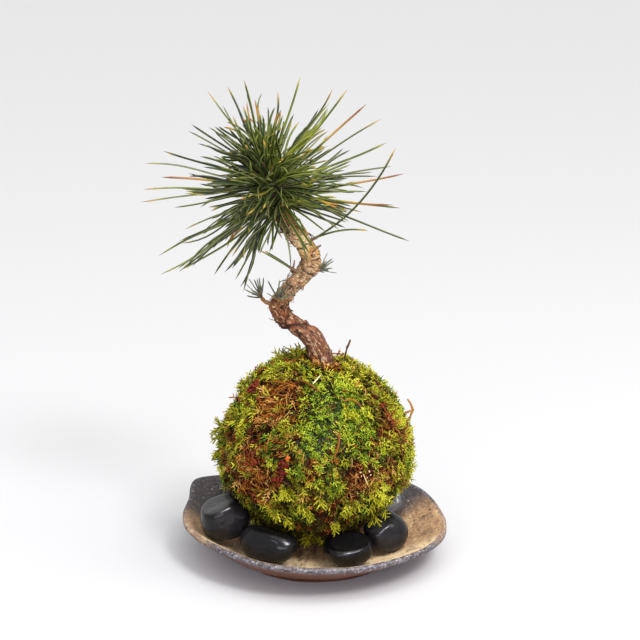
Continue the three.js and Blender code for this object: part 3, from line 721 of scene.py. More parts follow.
# sticks on the moss: their points across and up, the radius in mm and the tone, from dark red to cream
sticks = [([(-0.03, 0.685), (0.012, 0.73), (0.05, 0.78)], 0.42, 0.95),
          ([(-0.165, 0.726), (-0.05, 0.67), (0.05, 0.6)], 0.5, 0.36),
          ([(0.23, 0.21), (0.215, 0.09), (0.17, -0.03)], 0.55, 0.38),
          ([(-0.2, 0.66), (-0.33, 0.7), (-0.52, 0.69)], 0.36, 0.5),
          ([(-0.5, 0.52), (-0.42, 0.58), (-0.3, 0.57)], 0.36, 0.45),
          ([(0.46, -0.19), (0.48, -0.24), (0.5, -0.3)], 0.34, 0.88),
          ([(0.63, 0.5), (0.72, 0.36), (0.79, 0.2)], 0.4, 0.2),
          ([(0.79, 0.18), (0.84, 0.05), (0.86, -0.1)], 0.4, 0.24),
          ([(0.89, 0.36), (0.92, 0.27), (0.92, 0.17)], 0.34, 0.2),
          ([(0.28, 0.52), (0.36, 0.53), (0.46, 0.45)], 0.34, 0.56),
          ([(-0.43, 0.19), (-0.47, 0.12), (-0.485, 0.03)], 0.34, 0.66),
          ([(-0.36, 0.74), (-0.24, 0.7), (-0.1, 0.58)], 0.3, 0.42),
          ([(-0.6, 0.58), (-0.46, 0.63), (-0.26, 0.6)], 0.3, 0.34),
          ([(0.16, 0.985), (0.26, 1.0), (0.36, 0.96)], 0.4, 0.4),
          ([(-0.84, 0.3), (-0.9, 0.24), (-0.97, 0.26)], 0.36, 0.7)]
# heaps of small scales: across and up, how wide the heap is, how many, their size in mm and the tone
heaps = [(-0.27, -0.03, 0.005, 5, 1.5, 0.62), (-0.305, -0.09, 0.026, 20, 1.0, 0.08),
         (-0.34, -0.17, 0.03, 24, 1.0, 0.06), (-0.37, -0.25, 0.03, 20, 0.95, 0.05),
         (-0.62, 0.635, 0.036, 34, 1.05, 0.06), (-0.52, 0.64, 0.03, 9, 0.9, 0.2),
         (0.165, -0.05, 0.012, 4, 0.9, 0.58), (-0.84, 0.68, 0.02, 5, 1.1, 0.34),
         (0.86, -0.34, 0.02, 5, 0.7, 0.3), (-0.66, -0.05, 0.065, 40, 0.85, 0.24),
         (0.12, 0.97, 0.07, 30, 1.0, 0.5), (0.3, 0.97, 0.05, 16, 1.0, 0.36),
         (-0.02, 0.98, 0.05, 16, 0.9, 0.44), (0.47, -0.24, 0.09, 14, 0.7, 0.78),
         (0.06, 0.9, 0.05, 12, 1.0, 0.72)]
# the thread draws the moss in by its depth and lies over the mat there
thread = {"radius": 0.35, "windings": 4, "tilt": 74, "heading": 62, "samples": 320, "depth": 0.9,
          "steps": 640, "over": 0.96}
ballCentre = np.array(moss["centre"], float)


def threadDirections(count):
    share = np.arange(count) / count
    wound = share * thread["windings"] * 2 * math.pi
    flat = np.column_stack([np.cos(wound), np.sin(wound), np.zeros(count)])
    tilted = turned(flat, (1, 0, 0), math.radians(thread["tilt"]))
    heading = math.radians(thread["heading"]) + share * 2 * math.pi
    x = tilted[:, 0] * np.cos(heading) - tilted[:, 1] * np.sin(heading)
    y = tilted[:, 0] * np.sin(heading) + tilted[:, 1] * np.cos(heading)
    return np.column_stack([x, y, tilted[:, 2]])


def pressedBy(directions):
    # 1 under the thread, 0 well away from it
    nearest = np.max(directions @ threadWay.T, axis=1)
    return 1 - easeIn(5.2, 9, np.degrees(np.arccos(np.clip(nearest, -1, 1))))


def mossReach(directions):
    x, y, z = directions.T
    lumps = 0.7 * np.sin(4 * x + 3 * z + 1) + 0.6 * np.sin(5 * y - 3 * x) + 0.4 * np.sin(9 * z + 7 * x)
    drawnIn = 2.6 * easeIn(0.25, 0.65, -z) * (1 - easeIn(0.8, 0.99, -z))
    thin = 3 * easeIn(0.86, 0.985, directions @ unit(np.array(moss["thinSide"])))
    return moss["radius"] + lumps - drawnIn - thin


def seenFromFront(across, up):
    # the direction on the ball that the camera sees at that place
    toward = math.sqrt(max(0.0, 1 - across**2 - up**2))
    pitch = math.radians(studio["pitch"])
    return unit(np.array([across, -toward * math.cos(pitch) + up * math.sin(pitch),
                          toward * math.sin(pitch) + up * math.cos(pitch)]))


def inPlaces(directions, places):
    # how far each direction lies in one of the places, from 0 to 1
    best = np.zeros(len(directions))
    for across, up, size, strength in places:
        apart = np.linalg.norm(directions - seenFromFront(across, up), axis=1)
        best = np.maximum(best, strength * (1 - easeIn(size * 0.65, size * 1.25, apart)))
    return best


def behindPlaces(directions, rows, size, strength, k):
    # the like for the back of the ball, which the camera doesn't see
    best = np.zeros(len(directions))
    for i in range(rows):
        heading = math.pi * (0.02 + 0.96 * chance(i, k))
        height = 1.6 * chance(i, k + 1) - 0.75
        flat = math.sqrt(1 - min(0.98, height**2))
        middle = np.array([math.cos(heading) * flat, math.sin(heading) * flat, height])
        apart = np.linalg.norm(directions - middle, axis=1)
        reach = size * (0.6 + 0.9 * chance(i, k + 2))
        best = np.maximum(best, strength * (1 - easeIn(reach * 0.6, reach * 1.2, apart)))
    return best


def dryness(directions):
    return np.maximum(inPlaces(directions, dryPlaces), behindPlaces(directions, 16, 0.19, 0.85, 41))


def fineness(directions):
    return np.maximum(inPlaces(directions, finePlaces), behindPlaces(directions, 7, 0.32, 0.9, 51))


def evenDirections(count, jitter, seed):
    # directions spread evenly over the ball, each a little off its place
    rng = np.random.default_rng(seed)
    i = np.arange(count) + 0.5
    z = 1 - 2 * i / count
    around = i * moss["golden"]
    flat = np.sqrt(1 - z**2)
    even = np.column_stack([np.cos(around) * flat, np.sin(around) * flat, z])
    return unit(even + rng.normal(0, jitter, even.shape))


def tuftRelief(directions):
    # the moss stands in soft tufts with dark hollows between them
    return 1.1 * noiseAt(directions, 8.5) + 0.9 * noiseAt(directions, 17, (5, 3, 1))


def makeMat():
    points, faces = ballForm(moss["matSubdivisions"])
    directions = unit(points)
    lumps = noiseAt(directions, 17) + 0.6 * noiseAt(directions, 41)
    reach = mossReach(directions) - moss["matDepth"] - thread["depth"] * pressedBy(directions) + 0.5 * lumps
    reach = reach + np.minimum(tuftRelief(directions), 0.8)
    placed = ballCentre + directions * reach[:, None]
    for _ in range(moss["pressSteps"]):  # pressed in where a pebble lies against it
        reach = reach - moss["pressStep"] * insidePebble(placed, 0.5)
        placed = ballCentre + directions * reach[:, None]
    placed[:, 2] = np.maximum(placed[:, 2], moss["floor"])
    shade = np.clip(0.35 + 0.5 * lumps, 0, 1)
    dry = 0.25 + 0.7 * dryness(directions)
    # painted shade: the mat is marked like a frond's foot, so it is painted as dark
    return placed, faces, marksOf(len(points), 0.12, shade, dry, fineness(directions))


frond = {
    "fingers": (4, 5, 6),
    "stemRadii": [[0.055, 0.062, 0.034]],
    "fingerRadii": [[0.056, 0.03]],
    "opening": (28, 60),
    "fingerLength": (0.65, 1.25),
    "seed": 70,
}


def frondForm(kind):
    # one frond, growing along X with its back up: a bent stem with blunt fingers on both sides
    rng = np.random.default_rng(kind + frond["seed"])
    fingers = frond["fingers"][kind % 3]
    stemLine = smoothLine([(0, 0, 0), (0.3, 0.03, 0.06), (0.65, rng.uniform(-0.1, 0.1), 0.1),
                           (1, rng.uniform(-0.22, 0.22), rng.uniform(-0.08, 0.08))], 2)
    stem = sweep(rodForm(3, 2), stemLine[None], frond["stemRadii"], 0.8)
    starts, middles, ends = [], [], []
    for i in range(fingers):
        t = 0.12 + 0.74 * (i + 0.5) / fingers
        side = 1 if i % 2 else -1
        start = np.array([np.interp(t, np.linspace(0, 1, 3), stemLine[:, k]) for k in range(3)])
        opening = math.radians(rng.uniform(*frond["opening"]))
        length = 0.5 * (1 - 0.45 * t) * rng.uniform(*frond["fingerLength"])
        out = np.array([math.cos(opening), side * math.sin(opening), rng.uniform(-0.05, 0.5)]) * length
        starts.append(start)
        middles.append(start + out * 0.5)
        ends.append(start + out)
    hand = sweep(rodForm(3, 1), bowedLines(starts, middles, ends, 1), frond["fingerRadii"], 0.75,
                 roll=rng.normal(0, 0.5, fingers))
    points = np.vstack([stem[0], hand[0]])
    faces = np.vstack([stem[1], hand[1] + len(stem[0])])
    along = np.clip(points[:, 0] * 0.7 + np.abs(points[:, 1]) * 1.1 + points[:, 2] * 0.3, 0, 1)
    return (points, faces), along


def tangentFrames(directions, headings, lift, roll):
    # axes for a growth that leaves the surface along its heading, lifted off it by an angle
    flat = headings - directions * np.sum(headings * directions, axis=1, keepdims=True)
    flat = unit(flat)
    c, s = np.cos(lift)[:, None], np.sin(lift)[:, None]
    ahead = flat * c + directions * s
    back = directions * c - flat * s
    across = np.cross(back, ahead)
    cr, sr = np.cos(roll)[:, None], np.sin(roll)[:, None]
    across, back = across * cr + back * sr, back * cr - across * sr
    return np.stack([ahead, across, back], axis=1)


def clearOfRest(points):
    # True where a point lies in no pebble, above the dish and out of the trunk
    trunkFoot = smoothLine(trunk["line"], 90)[20:60]
    apart = np.min(np.linalg.norm(points[:, None, :] - trunkFoot[None], axis=2), axis=1)
    return ~insidePebble(points, 0.15) & (points[:, 2] > moss["floor"] + 0.4) & (apart > 6.2)


def drawClumps(rng):
    # neighbouring fronds share a heading, a lift, a tone and a size
    count = moss["clumps"]
    way = evenDirections(count, 0.07, 12)
    heading = rng.normal(0, 1, (count, 3)) + np.array([0, 0, -0.55])
    lift = rng.uniform(0.06, 0.6, count)
    shade = rng.normal(0, 0.12, count)
    return way, heading, lift, shade, rng.uniform(0.75, 1.25, count)


def shortened(size, feet, ahead, directions, relief, loose):
    # fronds cut back so that their tips stand little further out than the solid's tufts do
    tips = feet + ahead * size[:, None]
    farthest = mossReach(directions) + moss["tipsOut"] + 0.8 * relief + 2.0 * loose
    outBy = np.linalg.norm(tips - ballCentre, axis=1) - farthest
    size = np.where(outBy > 0, size * np.clip(1 - outBy / size * 1.3, 0.35, 1), size)
    return size * (1 - 0.5 * inHeaps(directions))


def markFronds(rng, directions, clumpShade, fine, relief, loose):
    # how light each frond is, how dry and how green, and how thick that leaves it
    count = len(directions)
    low = easeIn(0.0, 0.9, -directions[:, 2])
    lowest = easeIn(0.45, 0.85, -directions[:, 2])
    hollow = easeIn(0.15, 1.1, -relief)
    dry = dryness(directions)
    isDry = rng.uniform(0, 1, count) < dry * 0.92 + 0.05 + 0.4 * hollow
    dryMark = np.where(isDry, rng.uniform(0.65, 1.0, count), rng.uniform(0, 0.22, count) + 0.2 * dry)
    wave = noiseAt(directions, 3.3, (4, 1, 7))
    # painted light and shade: fronds on the tufts, on the right and facing up are painted lighter, and those
    # low on the ball and in the hollows darker
    shade = 0.465 + 0.3 * wave + clumpShade + rng.normal(0, 0.32, count) + 0.2 * relief + 0.2 * loose
    shade = shade + 0.14 * fine - 0.55 * low - 0.24 * hollow - 0.25 * lowest
    shade = np.clip(shade + 0.05 * directions[:, 0] + 0.1 * directions[:, 2], 0, 1)
    patch = noiseAt(directions, 4.1, (9, 2, 5))
    greener = np.maximum(fine, 0.85 * easeIn(0.02, 0.3, patch) * (1 - low))
    thick = np.where(isDry, 0.75, 1.0) * (1 + 0.35 * fine)
    return marksOf(count, shade, dryMark, greener), thick


def placeFronds():
    rng = np.random.default_rng(5)
    directions = evenDirections(moss["fronds"], 0.008, 11)
    directions = directions[directions[:, 2] > moss["lowest"]]
    count = len(directions)
    clumpWay, clumpHeading, clumpLift, clumpShade, clumpSize = drawClumps(rng)
    clump = np.argmax(directions @ clumpWay.T, axis=1)
    fine = fineness(directions)
    headings = unit(clumpHeading[clump]) + rng.normal(0, 0.42, (count, 3))
    loose = rng.uniform(0, 1, count) < moss["looseFronds"]
    lift = clumpLift[clump] + rng.normal(0, 0.16, count) + 0.2 * fine + 0.4 * loose
    lift = np.clip(lift, *moss["frondLift"])
    sizes = rng.uniform(*moss["frondSizes"], count)
    size = moss["frondLength"] * clumpSize[clump] * sizes * (1 - 0.36 * fine) * (1 + 0.18 * loose)
    axes = tangentFrames(directions, headings, lift, rng.normal(0, 0.45, count))
    sink = rng.uniform(*moss["sink"], count)
    pressed = 0.35 * thread["depth"] * pressedBy(directions)
    relief = tuftRelief(directions)
    feet = ballCentre + directions * (mossReach(directions) + relief - pressed - sink)[:, None]
    size = shortened(size, feet, axes[:, 0], directions, relief, loose)
    stem = axes[:, 0] * size[:, None]
    kept = clearOfRest(feet + stem) & clearOfRest(feet + stem * 0.55)
    marks, thick = markFronds(rng, directions, clumpShade[clump], fine, relief, loose)
    axes = axes * size[:, None, None]
    axes[:, 1:] *= thick[:, None, None]
    pairs = zip((feet, axes, marks, directions), placeTufts())
    return [np.concatenate([fronds[kept], tufts]) for fronds, tufts in pairs]


def pictureWay(degrees):
    # the direction that runs that way across the picture: 0 is right, 90 is up
    pitch = math.radians(studio["pitch"])
    angle = math.radians(degrees)
    return np.array([math.cos(angle), math.sin(angle) * math.sin(pitch), math.sin(angle) * math.cos(pitch)])


def placeTufts():
    rng = np.random.default_rng(6)
    directions, headings, sizes, shades = [], [], [], []
    for across, up, heading, count, length in looseTufts:
        middle = seenFromFront(across, up)
        for _ in range(count):
            directions.append(unit(middle + rng.normal(0, 0.028, 3)))
            headings.append(pictureWay(heading + rng.normal(0, 24)))
            sizes.append(length * rng.uniform(0.75, 1.15))
            # painted shade: tufts at the ball's foot are painted darker
            shades.append(rng.uniform(0.35, 0.95) - 0.3 * (up < -0.8))
    directions, headings, sizes = np.array(directions), np.array(headings), np.array(sizes)
    count = len(sizes)
    axes = tangentFrames(directions, headings, rng.uniform(0.35, 0.95, count), rng.normal(0, 0.5, count))
    reach = mossReach(directions) + np.minimum(tuftRelief(directions), 1) - 0.4
    feet = ballCentre + directions * reach[:, None]
    tips = feet + axes[:, 0] * sizes[:, None]
    kept = clearOfRest(tips) & clearOfRest((tips + feet) / 2)
    marks = marksOf(count, shades, rng.uniform(0, 0.15, count), 0)
    return feet[kept], axes[kept] * sizes[kept, None, None], marks[kept], directions[kept]


def inHeaps(directions):
    # how near each direction lies to a heap of scales, from 0 to 1
    return inPlaces(directions, [(across, up, 0.012 + 1.3 * wide, 1.0) for across, up, wide, *_ in heaps])


def onMoss(across, up, height):
    way = seenFromFront(across, up)
    return ballCentre + way * (float(mossReach(way[None])[0]) + height)


def makeSticks(rng):
    shapes = []
    taper = np.array([0.7, 0.95, 1, 1.05, 1, 1.04, 0.98, 0.95, 0.85, 0.7, 0.4])
    for points, radius, tone in sticks:
        ends = [onMoss(across, up, 2.4 + rng.uniform(0, 0.5)) for across, up in points]
        line = smoothLine(ends, 10)
        shapes.append(sweep(rodForm(7, 10), line[None], radius * taper[None], 0.7, marks=[(tone, 0.5)]))
    return shapes


def makeHeaps(rng):
    shapes = []
    crumb = ballForm(1, (1, 0.62, 0.36))
    for across, up, wide, count, size, tone in heaps:
        ways = unit(seenFromFront(across, up) + rng.normal(0, wide, (count, 3)))
        headings = rng.normal(0, 1, (count, 3))
        axes = tangentFrames(ways, headings, rng.uniform(-0.4, 0.9, count), rng.normal(0, 0.6, count))
        heights = mossReach(ways) + rng.uniform(1.8, 3.4, count)
        tones = np.clip(tone + rng.normal(0, 0.06, count), 0, 1)
        sizes = size * rng.uniform(0.6, 1.3, count)
        shapes.append(copies(crumb, 0.5, ballCentre + ways * heights[:, None],
                             axes * sizes[:, None, None], marksOf(count, tones, 0.5)))
    return shapes


def makeLitter():
    # dry needles, bud scales and bark crumbs on the moss
    rng = np.random.default_rng(8)
    shapes = makeSticks(rng) + makeHeaps(rng)
    kept = [shape for shape in shapes if clearOfRest(shape[0].mean(axis=0)[None])[0]]
    makePiece("moss_litter", kept, litterMaterial())


def litterMaterial():
    made, tree, shader = newMaterial("dry litter", {"Roughness": 0.5, "Specular IOR Level": 0.18})
    _, tone, _, _ = readGrowth(tree)
    tone = stirred(tree, tone, grain(tree, 800, 3, 0.6), 0.28)
    colour = ramp(tree, tone, [(0.0, "#3d0a05"), (0.14, "#861d0e"), (0.3, "#63340c"), (0.5, "#9c5a14"),
                               (0.63, "#bb590f"), (0.8, "#c79f62"), (1.0, "#ecdcb6")])
    tree.links.new(colour, shader.inputs["Base Color"])
    return made


def makeFronds(material):
    feet, axes, marks, directions = placeFronds()
    forms = [frondForm(kind) for kind in range(moss["frondKinds"])]
    kindOf = np.arange(len(feet)) % len(forms)
    heading = np.degrees(np.arctan2(directions[:, 1], directions[:, 0]))
    quarter = np.floor(np.mod(heading + 135, 360) / 90).astype(int)
    for number, name in enumerate(["front", "right", "back", "left"]):
        shapes = []
        for kind, (form, along) in enumerate(forms):
            here = (kindOf == kind) & (quarter == number)
            shapes.append(copies(form, along, feet[here], axes[here], marks[here]))
        makePiece(f"moss_fronds_{name}", shapes, material)


def makeFibres(material):
    # dry stems and roots that lie in the moss, most of them in the dry places
    rng = np.random.default_rng(21)
    directions = evenDirections(moss["fibres"] * 5, 0.02, 22)
    wanted = rng.uniform(0, 1, len(directions)) < 0.05 + 0.95 * dryness(directions)
    directions = directions[wanted & (directions[:, 2] > -0.85)][:moss["fibres"]]
    count = len(directions)
    length = rng.uniform(*moss["fibreLength"], count)
    headings = rng.normal(0, 1, (count, 3))
    axes = tangentFrames(directions, headings, rng.uniform(-0.1, 0.3, count), np.zeros(count))
    reach = mossReach(directions)
    start = ballCentre + directions * (reach + rng.uniform(-0.4, 0.9, count))[:, None]
    end = start + axes[:, 0] * length[:, None]
    over = np.linalg.norm(end - ballCentre, axis=1) - (reach + rng.uniform(0.2, 2.4, count))
    end = end - directions * np.maximum(over, -0.5)[:, None]
    bend = rng.uniform(-0.28, 0.28, count) * length
    middle = ((start + end) / 2 + axes[:, 1] * bend[:, None]
              + directions * rng.uniform(0.2, 1.6, count)[:, None])
    kept = clearOfRest(end) & clearOfRest((start + end) / 2) & clearOfRest(start)
    count = kept.sum()
    lines = bowedLines(start[kept], middle[kept], end[kept], 5)
    thick = rng.uniform(*moss["fibreRadius"], count)[:, None] * np.array([[1, 1, 0.95, 0.85, 0.65, 0.4]])
    marks = marksOf(count, rng.uniform(0, 1, count), 1, 0)
    makePiece("moss_fibres", [sweep(rodForm(3, 5), lines, thick, marks=marks)], material)


def mossMaterial():
    made, tree, shader = newMaterial("feather moss", {"Roughness": 0.45, "Specular IOR Level": 0.17})
    along, shade, dry, fine = readGrowth(tree)
    speck = grain(tree, 900, 2, 0.6)
    shade = stirred(tree, shade, speck, 0.5)
    green = ramp(tree, shade, [(0.0, "#342b05"), (0.25, "#60590a"), (0.5, "#918c12"), (0.75, "#c0be1f"),
                               (1.0, "#dedb42")])
    deep = ramp(tree, shade, [(0.0, "#2b3d09"), (0.3, "#557a14"), (0.6, "#8fad1e"), (1.0, "#c8db3c")])
    rust = ramp(tree, shade, [(0.0, "#361003"), (0.25, "#722b08"), (0.5, "#a44f12"), (0.75, "#c97d29"),
                              (1.0, "#e6b664")])
    colour = blended(tree, fine, green, deep)
    colour = blended(tree, spread(tree, dry, 0.15, 0.75), colour, rust)
    # painted shade: each frond is painted darker towards its foot, deep among the others
    light = ramp(tree, along, [(0.0, 0.06), (0.25, 0.24), (0.6, 0.8), (0.9, 1.0)])
    colour = blended(tree, 1.0, colour, light, "MULTIPLY")
    # painted highlights: pale points near the frond tips, painted in as glints of light
    paintedGlints = times(tree, spread(tree, speck, 0.66, 0.72), spread(tree, along, 0.6, 0.8, 0, 0.7))
    colour = blended(tree, paintedGlints, colour, "#f2f4a0")
    tree.links.new(colour, shader.inputs["Base Color"])
    return made


def threadMaterial():
    made, tree, shader = newMaterial("dark thread", {"Roughness": 0.9, "Specular IOR Level": 0.1})
    twist = grain(tree, 1400, 1, 0.5)
    tree.links.new(ramp(tree, twist, [(0.3, "#1a1406"), (0.7, "#42340f")]), shader.inputs["Base Color"])
    raised(tree, shader, twist, 0.4, 0.0002)
    return made


def soilMaterial():
    made, tree, shader = newMaterial("damp soil", {"Roughness": 0.95})
    crumbs = grain(tree, 320, 5, 0.7)
    tree.links.new(ramp(tree, crumbs, [(0.3, "#120c08"), (0.55, "#2c2017"), (0.8, "#4a3828")]),
                   shader.inputs["Base Color"])
    raised(tree, shader, crumbs, 0.8, 0.002)
    return made


# Trunk: where it runs is shared with the moss, which keeps clear of it
trunk = {
    "line": [(6.5, 0.6, 80), (5.4, 0.5, 91), (3, 0.4, 102), (1, 0.2, 108.6), (-2.3, -0.4, 115.2),
             (-9.2, -0.8, 120.5), (-15.6, -1.2, 125.2), (-18.2, -1.5, 131.2), (-15.2, -1, 136.6),
             (-10.9, 0, 141.6), (-5.2, 1, 147.4), (-2.2, 1.6, 154), (-6, 1.2, 161.8), (-12.6, 0.4, 170),
             (-15.8, 0, 176), (-17, -0.2, 180.6)],
    "radii": [5, 6.4, 6.3, 5.9, 5.4, 4.7, 4.3, 4.4, 4.1, 4, 4.2, 4.7, 4.4, 4.3, 4.1, 3.9],
    "around": 44,
    "steps": 330,
    "length": 119.0,
    "skinRadius": 4.6,
    "plates": 0.46,  # how far the bark's plates stand up
    "ringGap": 3.9,
    # painted shade: the bark turned away from lightFrom is painted darker
    "lightFrom": (0.55, -0.35, 0.75),  # the bark turned away from here is darker
    "flakes": 70,  # these lie anywhere, the others round the bend and along the stretches below
    "bendFlakes": 70,
    "flakeStretches": [(0.9, 1.0, 80), (0.17, 0.26, 46), (0.55, 0.7, 16)],
    "flakeKinds": 5,
    "flakeSize": (1.1, 3.0),
    "strands": 150,
    "strandSteps": 8,
    "strandLength": (3, 10),
    "strandRadius": (0.12, 0.27),
}
# dead stubs: foot, tip and radius
deadStubs = [((-9.4, -0.5, 144.5), (-12.4, -1.4, 149.2), 0.9),
             ((-11.6, -0.4, 149), (-10.4, -0.8, 154), 0.6),
             ((-1.6, 1, 158.4), (2.4, 0.6, 161.2), 0.9), ((-2.4, -1.5, 156.4), (-0.6, -6.6, 157.4), 1),
             ((-13.4, -2, 127), (-12.4, -8, 128.6), 1), ((-7, 0, 165), (-12, -0.6, 163.8), 0.7)]

threadWay = threadDirections(thread["samples"])
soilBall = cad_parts["soil_ball"]
soilBall.data.materials.clear()
soilBall.data.materials.append(soilMaterial())
mossFinish = mossMaterial()
makePiece("moss_mat", [makeMat()], mossFinish, ["moss_skin"])
makeFronds(mossFinish)
makeFibres(mossFinish)
makeLitter()
threadReach = mossReach(threadWay) - thread["depth"] + thread["radius"] + thread["over"]
threadLine = smoothLine(ballCentre + threadWay * threadReach[:, None], thread["steps"], closed=True)
makePiece("moss_thread", [sweep(rodForm(6, thread["steps"]), threadLine[None], thread["radius"])],
          threadMaterial(), ["binding_thread"])


# Bark: scaly plates with dark cracks, a ring scar low down and swellings where shoots once grew
# scars: a point on the trunk, the heading across it, the width and the depth
trunkScars = [((-9.0, -0.6, 119.6), (-0.3, 0.58, 0.85), 0.8, 0.95),
              ((-12.6, -0.8, 122.6), (-0.2, 0.3, 0.9), 0.3, 0.35),
              ((-4.6, 1, 148.6), (0.55, 0.2, 0.8), 0.4, 0.35),
              ((-12.0, 0.4, 169), (-0.6, 0, 0.8), 0.35, 0.25)]
# swellings: where, how wide and how high
trunkKnots = [((-20.5, -3.0, 131.0), 2.6, 1.3), ((-16.6, -4.5, 134.4), 2.2, 1.1),
              ((1.2, -0.6, 151.0), 2.4, 0.9), ((2.0, -1.5, 156.5), 2.0, 0.7),
              ((5.6, -4.6, 104.5), 2.6, 1.1), ((-11.2, -3.4, 120.4), 2.0, 0.5)]


def brokenPlate(skin, upper):
    # the height of the plate at a place on the unbent trunk, how broken it is and the crack beside it
    spot = Vector(skin * [0.3, 0.3, 0.24])
    spot += Vector(noise.noise_vector(spot * 1.3)) * 0.45
    apart, cells = noise.voronoi(spot)
    plate = noise.cell(cells[0] * 3.7)
    broken = easeIn(-0.05, 0.3, noise.noise(Vector(skin * [0.16, 0.16, 0.07]) + Vector((3, 8, 1))))
    crack = (1 - easeIn(0.02, 0.16, apart[1] - apart[0])) * (0.25 + 0.75 * broken) * (1 - 0.6 * upper)
    return plate, broken, crack


def crosswiseBreak(skin, upper):
    # the younger bark breaks across the stem
    gap = trunk["ringGap"]
    ringPlace = skin[2] / gap + 1.2 * noise.noise(Vector(skin * [0.2, 0.2, 0.06]))
    fromRing = abs(ringPlace - round(ringPlace)) * gap
    deep = (1 - easeIn(0.16, 0.75, fromRing)) * upper
    return deep * easeIn(-0.14, 0.12, noise.noise(Vector(skin * 0.21) + Vector((1, 7, 3))))


def scarred(here, height, crack):
    # the furrows of the scars and the swellings added to the bark's height and cracks
    for at, heading, width, depth in trunkScars:
        off = here - Vector(at)
        if off.length < 9:
            along = off.dot(Vector(heading).normalized()) + 0.5 * noise.noise(here / 3)
            furrow = math.exp(-(along / width) ** 2)
            height += depth * (0.45 * math.exp(-((along - 1.7) / 0.8) ** 2) - furrow)
            crack = max(crack, furrow * min(1, depth * 1.3))
    for at, wide, high in trunkKnots:
        height += high * math.exp(-((here - Vector(at)).length / wide) ** 2)
    return height, crack


def barkAt(here, skin, share):
    # how far the bark stands out at a point, its plate and its crack
    upper = easeIn(0.5, 0.6, share)
    plate, broken, crack = brokenPlate(skin, upper)
    across = crosswiseBreak(skin, upper)
    crack = max(crack, across)
    height = trunk["plates"] * (0.5 * plate * (0.4 + broken) - 0.9 * crack)
    height += 0.55 * noise.noise(here / 3.6) + 0.1 * noise.noise(here / 0.9)
    height += 0.13 * noise.noise(Vector(skin * [0.35, 0.35, 1.9]))  # fine rings round the stem
    height, crack = scarred(here, height - 0.3 * across, crack)
    return height, plate, crack


def makeStubs():
    shapes = []
    for foot, tip, radius in deadStubs:
        foot, tip = np.array(foot), np.array(tip)
        line = smoothLine([foot, foot * 0.5 + tip * 0.5 + [0.3, 0.2, 0.25], tip], 8)
        shape = sweep(rodForm(8, 8), line[None], np.linspace(1.0, 0.55, 9)[None] * radius)
        shape[2][:] = (0.62, 0.3, 0.35, 0.5)
        shapes.append(shape)
    return shapes


def makeTrunk():
    # the trunk with its stubs, and where each point lies on the unbent trunk
    steps = trunk["steps"]
    form = rodForm(trunk["around"], steps)
    line = smoothLine(trunk["line"], steps)
    radii = alongList(trunk["radii"], np.linspace(0, 1, steps + 1))
    points, faces, marks = sweep(form, line[None], radii[None])
    ring = np.rint(form[0][:, 2] * steps).astype(int)
    out = points - line[ring]
    unbent = np.column_stack([form[0][:, :2] * trunk["skinRadius"], ring / steps * trunk["length"]])
    lightFrom = unit(np.array(trunk["lightFrom"]))
    for i in range(len(points)):
        if np.linalg.norm(out[i]) < 0.1:
            continue
        height, plate, crack = barkAt(Vector(points[i]), unbent[i], ring[i] / steps)
        outward = out[i] / np.linalg.norm(out[i])
        points[i] += outward * height
        # painted shade: the side turned from the light goes into the crack mark, so it is painted dark
        under = easeIn(0.15, 0.95, -float(outward @ lightFrom))
        marks[i, 1:] = (0.5 + 0.5 * plate, max(crack, 0.75 * under), 0)
    stubs = makeStubs()
    return [(points, faces, marks)] + stubs, np.vstack([unbent] + [shape[0] for shape in stubs])


def trunkAt(shares):
    # the trunk's middle, radius and heading at each share of its length, and two directions across it
    steps = 200
    line = smoothLine(trunk["line"], steps)[None]
    first, second = framesAlong(line)
    ahead = unit(np.gradient(line[0], axis=0))
    ring = np.rint(np.asarray(shares) * steps).astype(int)
    return line[0][ring], alongList(trunk["radii"], shares), ahead[ring], first[0][ring], second[0][ring]


def roundTheStem(rng, first, second):
    # a direction out of the stem for each pair of directions across it
    around = rng.uniform(0, 2 * math.pi, len(first))
    return first * np.cos(around)[:, None] + second * np.sin(around)[:, None]


def flakeForm(kind):
    # a thin curled flake with ragged ends, lying along X with its outside up
    rng = np.random.default_rng(kind + 300)
    form = bmesh.new()
    bmesh.ops.create_cube(form, size=1)
    ends = [edge for edge in form.edges if abs(edge.verts[0].co.x - edge.verts[1].co.x) > 0.5]
    bmesh.ops.subdivide_edges(form, edges=ends, cuts=2, use_grid_fill=True)
    for vert in form.verts:
        x, y, z = vert.co
        narrow = 1 - 0.55 * abs(x) * 2 * rng.uniform(0.4, 1.1)
        vert.co = Vector((x + 0.12 * rng.uniform(-1, 1), y * 0.52 * narrow + 0.06 * rng.uniform(-1, 1),
                          z * 0.07 + 0.5 * (x + 0.5) ** 2 * 0.5 - 0.25 * (y * 0.6) ** 2))
    return takeForm(form)


